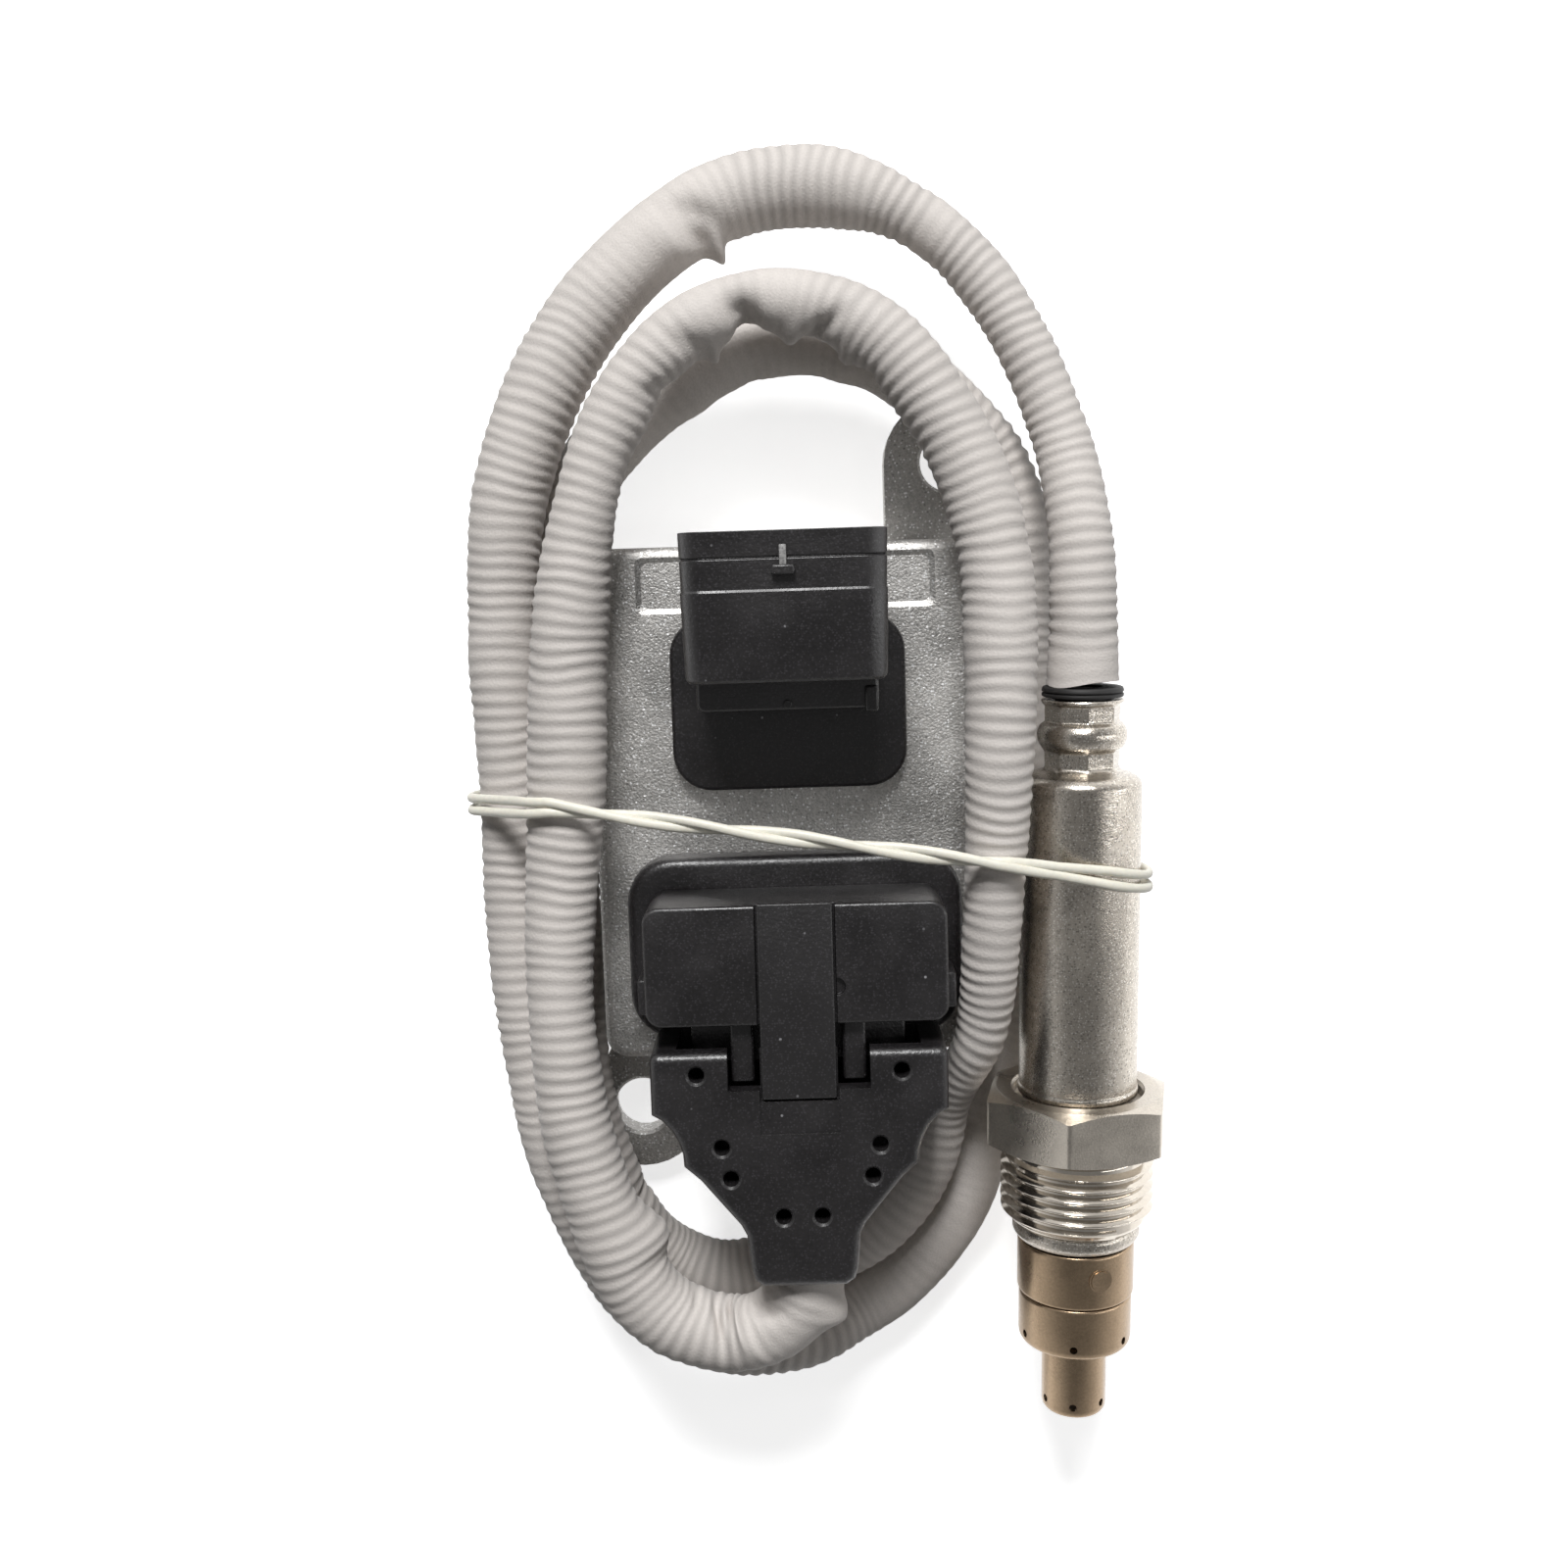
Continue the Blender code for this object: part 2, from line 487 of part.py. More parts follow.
def make_board(look_board, look_screw, look_chip, look_can):
    """Circuit board on four posts, its screws, chips and capacitors."""
    side = 2 * (WALL + LEDGE + 0.4 * MM)
    bm = bmesh.new()
    add_prism(bm, rounded(HOUSING_WIDTH - side, HOUSING_LENGTH - side, 1.6 * MM), BOARD_Z,
              BOARD_Z + BOARD_THICKNESS)
    board = finish("circuit_board", bm, look_board)
    bm = bmesh.new()
    for sx in (1, -1):
        for sy in (1, -1):
            add_prism(bm, circle(BOARD_SCREW_R + 2 * GAP, sx * POST_X, sy * POST_Y, 12), BOARD_Z - MM,
                      BOARD_Z + BOARD_THICKNESS + MM)
    for x, y in header_pin_places():
        add_prism(bm, circle(CONTACT_PIN_R + GAP, x, y, 8), BOARD_Z - MM, BOARD_Z + BOARD_THICKNESS + MM)
    for x in blade_places():
        add_prism(bm, circle(0.71 * PIN_SIDE + GAP, x, blade_root_y(), 8), BOARD_Z - MM,
                  BOARD_Z + BOARD_THICKNESS + MM)
    combine(board, cutter("cut_board", bm), "DIFFERENCE")

    for name, sx, sy in (("a", 1, 1), ("b", -1, 1), ("c", -1, -1), ("d", 1, -1)):
        bm = bmesh.new()
        add_lathe(bm, [(0, BOARD_Z - 1.6 * MM), (BOARD_SCREW_HEAD_R, BOARD_Z - 1.6 * MM),
                       (BOARD_SCREW_HEAD_R, BOARD_Z - GAP), (BOARD_SCREW_R, BOARD_Z - GAP),
                       (BOARD_SCREW_R, BOARD_Z + 5.4 * MM), (0, BOARD_Z + 5.4 * MM)], 12, False,
                  sx * POST_X, sy * POST_Y)
        finish("board_screw_" + name, bm, look_screw)

    top = BOARD_Z + BOARD_THICKNESS + GAP
    for name, x, y, side, height in (("processor_chip", -9.0, -2.0, 12.0, 1.5), ("driver_chip", 7.0, -1.5, 8.0, 1.3)):
        bm = bmesh.new()
        add_prism(bm, rounded(side * MM, side * MM, 0.4 * MM, x * MM, y * MM, 2), top, top + height * MM)
        finish(name, bm, look_chip)
    for name, x in (("board_capacitor_a", CAPACITOR_X), ("board_capacitor_b", CAPACITOR_X - CAPACITOR_PITCH)):
        bm = bmesh.new()
        add_prism(bm, circle(CAPACITOR_R, x, CAPACITOR_Y, 16), top, top + CAPACITOR_HEIGHT)
        finish(name, bm, look_can)


# Harness connector
def blade_places():
    """X of each harness blade."""
    return [(k - 2) * BLADE_PITCH for k in range(5)]


def blade_root_y():
    """Y at which the blades turn down to the board."""
    return SHROUD_BACK_Y + 1.3 * MM


def xz_ring(outline, y):
    """An outline in x and z placed at y; listed so that its face looks along +Y."""
    return [(-x, y, z) for x, z in outline]


def make_harness_connector(look):
    """Right-angle five-way connector: flange, neck, shroud with its socket, and lock nub."""
    zc = (SHROUD_LOW_Z + SHROUD_TOP_Z) / 2
    depth = SHROUD_TOP_Z - SHROUD_LOW_Z
    bm = bmesh.new()
    rings = []
    for y, cut in ((SHROUD_BACK_Y, 0.6 * MM), (SHROUD_BACK_Y + 0.6 * MM, 0.0), (27.7 * MM, 0.0),
                   (27.9 * MM, 0.3 * MM), (SHROUD_FRONT_Y, 0.3 * MM)):
        rings.append(xz_ring(rounded(SHROUD_WIDTH - 2 * cut, depth - 2 * cut, SHROUD_R - 0.3 * cut, 0.0, zc), y))
    add_loft(bm, rings)
    body = finish("harness_connector", bm, look)

    flange_z = HOUSING_FACE_Z + GAP
    bm = bmesh.new()
    add_prism(bm, rounded(HARNESS_FLANGE_WIDTH, HARNESS_FLANGE_HEIGHT, HARNESS_FLANGE_R, 0.0, HARNESS_Y),
              flange_z, flange_z + FLANGE_THICKNESS)
    combine(body, cutter("cut_flange", bm), "UNION")
    bm = bmesh.new()
    add_prism(bm, rounded(NECK_WIDTH, NECK_FRONT_Y - NECK_BACK_Y, 1.2 * MM, 0.0,
                          (NECK_FRONT_Y + NECK_BACK_Y) / 2), flange_z + 0.5 * MM, NECK_TOP_Z)
    combine(body, cutter("cut_neck", bm), "UNION")
    bm = bmesh.new()
    add_prism(bm, harness_skirt(), HOUSING_FACE_Z - SKIRT_DEPTH, flange_z + 0.5 * MM)
    rim_o = rounded(HARNESS_FLANGE_WIDTH - 1.0 * MM, HARNESS_FLANGE_HEIGHT - 1.0 * MM, 4.5 * MM, 0.0, HARNESS_Y)
    add_tube(bm, rim_o, inset(rim_o, 0.8 * MM), flange_z + FLANGE_THICKNESS - 0.3 * MM,
             flange_z + FLANGE_THICKNESS + 0.35 * MM)
    nub = SHROUD_TOP_Z - 1.0 * MM
    add_prism(bm, box_outline(-1.35 * MM, 1.35 * MM, 29.55 * MM, 30.75 * MM), nub, SHROUD_TOP_Z + 1.0 * MM)
    add_prism(bm, box_outline(-0.45 * MM, 0.45 * MM, 30.95 * MM, 32.9 * MM), nub, SHROUD_TOP_Z + 0.5 * MM)
    add_prism(bm, box_outline(9.4 * MM, 11.0 * MM, NECK_BACK_Y - 0.35 * MM, NECK_BACK_Y + 3.0 * MM),
              flange_z + 1.0 * MM, NECK_TOP_Z + 0.4 * MM)
    combine(body, cutter("cut_details", bm), "UNION")

    bm = bmesh.new()
    hollow = rounded(SHROUD_WIDTH - 2 * SHROUD_WALL, depth - 2 * SHROUD_WALL, SHROUD_R - 1.0 * MM, 0.0, zc)
    add_loft(bm, [xz_ring(hollow, SHROUD_FRONT_Y - SOCKET_DEPTH), xz_ring(hollow, SHROUD_FRONT_Y + MM)])
    combine(body, cutter("cut_socket", bm), "DIFFERENCE")
    bm = bmesh.new()
    for x in blade_places():
        add_blade(bm, x, GAP, SHROUD_FRONT_Y - SOCKET_DEPTH + 1.0 * MM, HOUSING_FACE_Z - SKIRT_DEPTH - 1.0 * MM)
    combine(body, cutter("cut_blades", bm), "DIFFERENCE")


def harness_skirt():
    """Outline of the part of the harness connector that passes through the face."""
    return inset(harness_opening(), SEAL_BAND + 2 * GAP)


def add_blade(bm, x, grow, front_y, low_z):
    """Add one L-shaped blade, or with grow the room round it."""
    half_w = BLADE_WIDTH / 2 + grow
    half_t = PIN_SIDE / 2 + grow
    y0 = blade_root_y() - half_t
    y1 = blade_root_y() + half_t
    side = [(y0, low_z), (y1, low_z), (y1, BLADE_Z - half_t), (front_y, BLADE_Z - half_t),
            (front_y, BLADE_Z + half_t), (y0, BLADE_Z + half_t)]
    add_loft(bm, [[(x - half_w, y, z) for y, z in side], [(x + half_w, y, z) for y, z in side]])


def make_harness_contacts(look_pin, look_seal):
    """Five blades from the socket to the board, and the seal round the skirt."""
    half = PIN_SIDE / 2
    for k, x in enumerate(blade_places()):
        name = "harness_blade_" + str(k + 1)
        bm = bmesh.new()
        add_blade(bm, x, 0.0, SHROUD_FRONT_Y - 3.6 * MM, BOARD_Z + BOARD_THICKNESS + 0.6 * MM)
        blade = finish(name, bm, look_pin)
        bm = bmesh.new()
        add_box(bm, x - half, x + half, blade_root_y() - half, blade_root_y() + half, BOARD_Z - 0.9 * MM,
                BOARD_Z + BOARD_THICKNESS + 1.0 * MM)
        combine(blade, cutter("cut_tail_" + str(k + 1), bm), "UNION")
    bm = bmesh.new()
    outer = inset(harness_opening(), GAP)
    add_tube(bm, outer, inset(outer, SEAL_BAND), HOUSING_FACE_Z - 2.1 * MM, HOUSING_FACE_Z - 0.5 * MM)
    finish("harness_flange_seal", bm, look_seal)


# Sensor header and plug
def header_pin_places():
    """Places of the eight header pins."""
    rows = (PLUG_Y - CONTACT_ROW, PLUG_Y + CONTACT_ROW)
    return [((k - 1.5) * CONTACT_PITCH, y) for k in range(4) for y in rows]


def plug_hollow(depth=0.0):
    """Outline of the plug's hollow, which the header's tower enters, or one nested in it."""
    around = 2 * (PLUG_WALL + depth)
    return rounded(PLUG_WIDTH - around, PLUG_HEIGHT - around, max(0.4 * MM, 1.4 * MM - depth), 0.0, PLUG_Y)


def tower_outline(depth=0.0):
    """Outer outline of the header's tower, or one nested in it."""
    return plug_hollow(TOWER_CLEARANCE + depth)


def make_header(look, look_pin, look_seal):
    """Sensor header: domed flange, skirt and tower, its eight pins and its seal."""
    z0 = HOUSING_FACE_Z + GAP
    bm = bmesh.new()
    rings = []
    for z, cut in ((z0, 0.0), (z0 + 1.4 * MM, 0.0), (HEADER_FACE_Z - 0.7 * MM, 0.55 * MM),
                   (HEADER_FACE_Z, 1.3 * MM)):
        outline = rounded(HEADER_WIDTH - 2 * cut, HEADER_HEIGHT - 2 * cut, HEADER_R - 0.6 * cut, 0.0, HEADER_Y)
        rings.append([(x, y, z) for x, y in outline])
    add_loft(bm, rings)
    header = finish("sensor_header", bm, look)
    bm = bmesh.new()
    add_prism(bm, inset(header_opening(), SEAL_BAND + 2 * GAP), HOUSING_FACE_Z - SKIRT_DEPTH, z0 + 1.0 * MM)
    combine(header, cutter("cut_skirt", bm), "UNION")
    bm = bmesh.new()
    add_prism(bm, tower_outline(), z0 + 1.5 * MM, PLUG_TOP_Z - 2.8 * MM)
    combine(header, cutter("cut_tower", bm), "UNION")
    bm = bmesh.new()
    add_prism(bm, tower_outline(TOWER_WALL), HEADER_FACE_Z + 1.0 * MM, PLUG_TOP_Z)
    combine(header, cutter("cut_tower_hollow", bm), "DIFFERENCE")
    bm = bmesh.new()
    for x, y in header_pin_places():
        add_prism(bm, circle(CONTACT_PIN_R + GAP, x, y, 8), HOUSING_FACE_Z - SKIRT_DEPTH - MM,
                  HEADER_FACE_Z + 2.0 * MM)
    combine(header, cutter("cut_pin_holes", bm), "DIFFERENCE")

    for k, (x, y) in enumerate(header_pin_places()):
        bm = bmesh.new()
        add_prism(bm, circle(CONTACT_PIN_R, x, y, 8), BOARD_Z - 0.9 * MM, PLUG_TOP_Z - 4.6 * MM)
        finish("header_pin_" + str(k + 1), bm, look_pin)
    bm = bmesh.new()
    outer = inset(header_opening(), GAP)
    add_tube(bm, outer, inset(outer, SEAL_BAND), HOUSING_FACE_Z - 2.1 * MM, HOUSING_FACE_Z - 0.5 * MM)
    finish("header_flange_seal", bm, look_seal)


def make_plug(look, look_seal, look_contact):
    """Plug over the tower: shell with latch channel, core, side wings and two rear arms."""
    low = HEADER_FACE_Z + GAP
    bm = bmesh.new()
    rings = []
    for z, cut in ((low, 0.0), (PLUG_TOP_Z - 0.5 * MM, 0.0), (PLUG_TOP_Z, 0.35 * MM)):
        outline = rounded(PLUG_WIDTH - 2 * cut, PLUG_HEIGHT - 2 * cut, PLUG_R - 0.3 * cut, 0.0, PLUG_Y)
        rings.append([(x, y, z) for x, y in outline])
    add_loft(bm, rings)
    plug = finish("plug_housing", bm, look)

    back = PLUG_Y - PLUG_HEIGHT / 2
    bm = bmesh.new()
    for s in (1, -1):
        x0, x1 = sorted((s * (PLUG_WIDTH / 2 - 1.0 * MM), s * WING_X))
        add_box(bm, x0, x1, back + 0.4 * MM, -20.3 * MM, low + 0.2 * MM, 28.0 * MM)
        x0, x1 = sorted((s * ARM_IN_X, s * ARM_OUT_X))
        add_box(bm, x0, x1, ARM_END_Y, back + 1.0 * MM, ARM_TOP_Z - 2.4 * MM, ARM_TOP_Z)
    add_box(bm, -13.5 * MM, 13.5 * MM, back - 6.0 * MM, back + 1.0 * MM, 22.4 * MM, 27.5 * MM)
    combine(plug, cutter("cut_arms", bm), "UNION")

    bm = bmesh.new()
    add_prism(bm, plug_hollow(), low - MM, PLUG_TOP_Z - 2.4 * MM)
    combine(plug, cutter("cut_plug_hollow", bm), "DIFFERENCE")
    bm = bmesh.new()
    add_prism(bm, rounded(CORE_WIDTH, CORE_HEIGHT, 1.0 * MM, 0.0, PLUG_Y), 22.2 * MM, PLUG_TOP_Z - 2.0 * MM)
    combine(plug, cutter("cut_core", bm), "UNION")
    bm = bmesh.new()
    half = STRIP_WIDTH / 2 + GAP
    floor = STRIP_TOP_Z - STRIP_THICKNESS - GAP
    add_box(bm, -half, half, back - MM, -back, floor, PLUG_TOP_Z + MM)
    for x, y in header_pin_places():
        add_prism(bm, circle(CONTACT_R + GAP, x, y, 10), 21.0 * MM, PLUG_TOP_Z - 2.7 * MM)
    combine(plug, cutter("cut_channel", bm), "DIFFERENCE")

    bm = bmesh.new()
    core = rounded(CORE_WIDTH, CORE_HEIGHT, 1.0 * MM, 0.0, PLUG_Y)
    add_tube(bm, inset(core, -GAP - 0.6 * MM), inset(core, -GAP), 24.0 * MM, 26.0 * MM)
    finish("plug_seal", bm, look_seal)
    for k, (x, y) in enumerate(header_pin_places()):
        bm = bmesh.new()
        add_tube(bm, circle(CONTACT_R, x, y, 10), circle(CONTACT_PIN_R + GAP, x, y, 10), 22.6 * MM,
                 PLUG_TOP_Z - 3.1 * MM)
        finish("plug_contact_" + str(k + 1), bm, look_contact)


def make_latch(look):
    """Sprung latch strip in the channel of the plug and the cover."""
    bm = bmesh.new()
    low = STRIP_TOP_Z - STRIP_THICKNESS
    outline = box_outline(-STRIP_WIDTH / 2, STRIP_WIDTH / 2, STRIP_END_Y, STRIP_FRONT_Y)
    add_loft(bm, [[(x, y, low) for x, y in outline], [(x, y, STRIP_TOP_Z - 0.25 * MM) for x, y in outline],
                  [(x, y, STRIP_TOP_Z) for x, y in inset(outline, 0.2 * MM)]])
    finish("latch_strip", bm, look)


def cover_outline():
    """Whole outline of the strain relief cover, counter-clockwise."""
    right = [(x * MM, y * MM) for x, y in COVER_HALF]
    left = [(-x, y) for x, y in reversed(right)]
    return list(reversed(right + left))


def make_cover(look):
    """Funnel-shaped strain relief cover with slots, round holes and the cable mouth."""
    outline = cover_outline()
    bm = bmesh.new()
    edge = COVER_EDGE_R
    rings = [(COVER_LOW_Z, 0.4 * MM), (COVER_LOW_Z + 0.4 * MM, 0.0), (COVER_TOP_Z - edge, 0.0),
             (COVER_TOP_Z - 0.35 * edge, 0.25 * edge), (COVER_TOP_Z, edge)]
    add_loft(bm, [[(x, y, z) for x, y in inset(outline, cut)] for z, cut in rings])
    cover = finish("strain_relief_cover", bm, look)

    bm = bmesh.new()
    add_prism(bm, inset(outline, COVER_WALL), COVER_LOW_Z + 1.3 * MM, COVER_TOP_Z - 2.4 * MM)
    combine(cover, cutter("cut_cover_hollow", bm), "DIFFERENCE")
    bm = bmesh.new()
    front = COVER_HALF[0][1] * MM
    add_box(bm, -15.2 * MM, 15.2 * MM, front - 3.2 * MM, front + 1.5 * MM, COVER_LOW_Z + 1.4 * MM,
            COVER_TOP_Z - 2.35 * MM)
    combine(cover, cutter("cut_cover_front", bm), "DIFFERENCE")
    bm = bmesh.new()
    half = STRIP_WIDTH / 2 + GAP
    floor = STRIP_TOP_Z - STRIP_THICKNESS - GAP
    add_box(bm, -half, half, CHANNEL_END_Y, front + MM, floor, COVER_TOP_Z + MM)
    combine(cover, cutter("cut_cover_channel", bm), "DIFFERENCE")
    bm = bmesh.new()
    for s in (1, -1):
        x0, x1 = sorted((s * (half - 0.1 * MM), s * SLOT_OUT_X))
        add_box(bm, x0, x1, SLOT_END_Y, front + MM, COVER_TOP_Z - 4.0 * MM, COVER_TOP_Z + MM)
        for x, y in COVER_HOLES:
            add_prism(bm, circle(COVER_HOLE_R, s * x * MM, y * MM, 10), COVER_TOP_Z - 4.0 * MM,
                      COVER_TOP_Z + MM)
    combine(cover, cutter("cut_cover_holes", bm), "DIFFERENCE")
    bm = bmesh.new()
    bore = [(x, z) for x, z in circle(MOUTH_BORE_R, 0.0, MOUTH_Z, 16)]
    add_loft(bm, [xz_ring(bore, MOUTH_Y - MM), xz_ring(bore, MOUTH_Y + 3.4 * MM)])
    combine(cover, cutter("cut_mouth", bm), "DIFFERENCE")


# Probe
def make_grommet(look):
    """Rubber grommet that closes the probe's crimped neck round the lead wires."""
    bm = bmesh.new()
    add_lathe(bm, [(GROMMET_BORE_R, 0.0), (GROMMET_R, 0.0), (GROMMET_R, GROMMET_RIM),
                   (GROMMET_PLUG_R, GROMMET_RIM), (GROMMET_PLUG_R, GROMMET_END), (GROMMET_BORE_R, GROMMET_END)], 24)
    on_probe(finish("probe_grommet", bm, look))


def make_shell(look):
    """Upper steel shell: crimped neck, shoulder, long tube and polished rim."""
    w = SHELL_WALL
    step = CRIMP_STEP
    outer = [(GROMMET_R, SHELL_START), (0.96 * GROMMET_R, SHELL_START + 0.5 * step),
             (CRIMP_R, BULGE_AT - 3 * step), (CRIMP_R, BULGE_AT - 1.5 * step), (0.94 * BULGE_R, BULGE_AT - step),
             (BULGE_R, BULGE_AT), (0.94 * BULGE_R, BULGE_AT + 1.1 * step), (CRIMP_R, BULGE_AT + 1.75 * step),
             (CRIMP_R, SHOULDER_AT - 0.5 * step), (1.12 * CRIMP_R, SHOULDER_AT),
             (0.9 * SHELL_R, SHOULDER_AT + 0.4 * step), (0.98 * SHELL_R, SHOULDER_AT + step),
             (SHELL_R, SHOULDER_AT + 1.6 * step), (SHELL_R, SHELL_END - 1.2 * step),
             (SHELL_RIM_R, SHELL_END - 0.8 * step), (SHELL_RIM_R, SHELL_END - 0.25 * step),
             (0.97 * SHELL_RIM_R, SHELL_END)]
    inner = [(SHELL_R - w, SHELL_END), (SHELL_R - w, SHOULDER_AT + 1.8 * step),
             (0.82 * SHELL_R, SHOULDER_AT + step), (CRIMP_R - w, SHOULDER_AT + 0.35 * step),
             (CRIMP_R - w, SHELL_START)]
    bm = bmesh.new()
    add_lathe(bm, outer + inner, 32)
    on_probe(finish("upper_shell", bm, look, 40.0))


def make_nut(look):
    """Swivel nut: chamfered hexagon and threaded shank, free to turn on the probe body."""
    corner = NUT_FLATS / math.sqrt(3)
    turn = math.radians(90 + NUT_TURN_DEG)
    hexagon = [(corner * math.cos(turn + math.pi / 3 * k), corner * math.sin(turn + math.pi / 3 * k))
               for k in range(6)]
    bm = bmesh.new()
    add_prism(bm, hexagon, NUT_START, NUT_HEX_END)
    nut = finish("swivel_nut", bm, look)
    bm = bmesh.new()
    flat = NUT_FLATS / 2
    add_lathe(bm, [(0, NUT_START), (flat - 0.2 * MM, NUT_START), (corner + 0.6 * MM, NUT_START + 1.05 * MM),
                   (corner + 0.6 * MM, NUT_HEX_END - 0.75 * MM), (flat + 0.2 * MM, NUT_HEX_END),
                   (0, NUT_HEX_END)], 36, False)
    chamfer = cutter("cut_chamfer", bm)
    combine(nut, chamfer, "INTERSECT")
    bm = bmesh.new()
    root = THREAD_R - THREAD_DEPTH
    profile = [(0, NUT_HEX_END - 1.0 * MM), (root, NUT_HEX_END - 1.0 * MM), (root, NUT_HEX_END + 0.9 * MM)]
    z = NUT_HEX_END + 1.3 * MM
    while z + THREAD_PITCH < NUT_END:
        profile += [(THREAD_R, z), (THREAD_R, z + 0.3 * MM), (root, z + 0.9 * MM)]
        z += THREAD_PITCH
    profile += [(THREAD_R - 0.5 * MM, min(z, NUT_END - 0.4 * MM)), (root, NUT_END), (0, NUT_END)]
    add_lathe(bm, profile, 32, False)
    shank = cutter("cut_shank", bm)
    combine(nut, shank, "UNION")
    bm = bmesh.new()
    bore = BODY_R + NUT_CLEARANCE
    wide = SHELL_RIM_R + 0.6 * MM
    add_lathe(bm, [(0, NUT_START - MM), (wide, NUT_START - MM), (wide, SHELL_END + 0.9 * MM),
                   (bore, SHELL_END + 0.9 * MM), (bore, NUT_END + MM), (0, NUT_END + MM)], 32, False)
    hole = cutter("cut_nut_bore", bm)
    combine(nut, hole, "DIFFERENCE")
    for obj in (nut, chamfer, shank, hole):
        on_probe(obj)


def make_body(look):
    """Steel body inside the nut, with the seat flange under the thread."""
    bm = bmesh.new()
    inner = BODY_BORE_R
    add_lathe(bm, [(inner, BODY_START), (BODY_R, BODY_START), (BODY_R, NUT_END + GAP),
                   (SEAT_R - 0.3 * MM, NUT_END + GAP), (SEAT_R, NUT_END + 0.7 * MM),
                   (SEAT_R, SEAT_END - 0.7 * MM), (SEAT_R - 0.6 * MM, SEAT_END), (inner, SEAT_END)], 32)
    on_probe(finish("probe_body", bm, look))


def make_shields(look_collar, look_shield, look_tip):
    """Collar, gas shield and tip tube with their rings of gas holes."""
    start = SEAT_END + GAP
    bm = bmesh.new()
    add_lathe(bm, [(COLLAR_R - 0.5 * MM, start), (COLLAR_R, start), (COLLAR_R, COLLAR_END),
                   (COLLAR_R - 0.5 * MM, COLLAR_END)], 32)
    on_probe(finish("outer_collar", bm, look_collar))

    neck = COLLAR_R - 0.5 * MM - GAP
    wall = 0.6 * MM
    seam = COLLAR_END + GAP
    bm = bmesh.new()
    add_lathe(bm, [(neck - wall, start), (neck, start), (neck, seam), (SHIELD_R, seam),
                   (SHIELD_R, SHIELD_END - 0.9 * MM), (SHIELD_R - 0.3 * MM, SHIELD_END - 0.3 * MM),
                   (SHIELD_R - 0.9 * MM, SHIELD_END), (TIP_R + GAP, SHIELD_END),
                   (TIP_R + GAP, SHIELD_END - wall), (neck - wall, SHIELD_END - wall)], 32)
    shield = on_probe(finish("gas_shield", bm, look_shield))
    bm = bmesh.new()
    add_gas_holes(bm, SHIELD_HOLES_AT - 0.4 * MM, neck - 2 * wall, SHIELD_R + MM)
    combine(shield, on_probe(cutter("cut_shield_holes", bm)), "DIFFERENCE")

    bm = bmesh.new()
    flange = SHIELD_END - wall - GAP
    thin = 0.5 * MM
    add_lathe(bm, [(TIP_R - thin, flange - thin), (TIP_R + 1.6 * MM, flange - thin), (TIP_R + 1.6 * MM, flange),
                   (TIP_R, flange), (TIP_R, TIP_END - 0.9 * MM), (TIP_R - 0.3 * MM, TIP_END - 0.3 * MM),
                   (TIP_R - 0.9 * MM, TIP_END), (1.0 * MM, TIP_END), (1.0 * MM, TIP_END - thin),
                   (TIP_R - thin, TIP_END - thin)], 24)
    tip = on_probe(finish("tip_tube", bm, look_tip))
    bm = bmesh.new()
    add_gas_holes(bm, TIP_HOLES_AT, TIP_R - 2 * thin, TIP_R + MM)
    combine(tip, on_probe(cutter("cut_tip_holes", bm)), "DIFFERENCE")


def add_gas_holes(bm, at, r_in, r_out):
    """Add six small radial rods that cut the gas holes."""
    for k in range(6):
        a = math.radians(90 + 60 * k)
        ax = Vector((math.cos(a), math.sin(a), 0))
        tx = Vector((-math.sin(a), math.cos(a), 0))
        rings = []
        for r in (r_in, r_out):
            ring = []
            for u, v in circle(GAS_HOLE_R, 0, 0, 8):
                ring.append(ax * r + tx * u + Vector((0, 0, at + v)))
            rings.append(ring)
        add_loft(bm, rings)


def make_core(look_ceramic, look_talc, look_element, look_spring, look_wire):
    """Inside of the probe: element, bushes, talc, contact holder, springs and lead wires."""
    bm = bmesh.new()
    add_box(bm, -ELEMENT_HALF_WIDTH, ELEMENT_HALF_WIDTH, -ELEMENT_HALF_DEPTH, ELEMENT_HALF_DEPTH,
            ELEMENT_START, ELEMENT_END)
    on_probe(finish("sensing_element", bm, look_element))
    for name, z0, z1, look in (("upper_bush", BUSH_START, TALC_START - CORE_GAP, look_ceramic),
                               ("talc_ring", TALC_START, TALC_END, look_talc),
                               ("lower_bush", TALC_END + CORE_GAP, BUSH_END, look_ceramic)):
        bm = bmesh.new()
        add_lathe(bm, [(CORE_BORE_R, z0), (CORE_R, z0), (CORE_R, z1), (CORE_BORE_R, z1)], 20)
        on_probe(finish(name, bm, look))
    bm = bmesh.new()
    add_lathe(bm, [(HOLDER_BORE_R, HOLDER_START), (HOLDER_R, HOLDER_START), (HOLDER_R, HOLDER_END),
                   (HOLDER_BORE_R, HOLDER_END)], 20)
    on_probe(finish("contact_holder", bm, look_ceramic))
    for name, s in (("contact_spring_a", 1), ("contact_spring_b", -1)):
        near = ELEMENT_HALF_DEPTH + GAP
        y0, y1 = sorted((s * near, s * (near + SPRING_THICKNESS)))
        bm = bmesh.new()
        add_box(bm, -SPRING_HALF_WIDTH, SPRING_HALF_WIDTH, y0, y1, HOLDER_START + 2.0 * MM, HOLDER_END - 1.5 * MM)
        on_probe(finish(name, bm, look_spring))
    bm = bmesh.new()
    lobes = []
    for i in range(24):
        a = 2 * math.pi * i / 24
        r = LEAD_R + LEAD_LOBE * abs(math.cos(3 * a))
        lobes.append((r * math.cos(a), r * math.sin(a)))
    add_prism(bm, lobes, GAP, HOLDER_START - 0.5 * MM)
    on_probe(finish("lead_bundle", bm, look_wire))


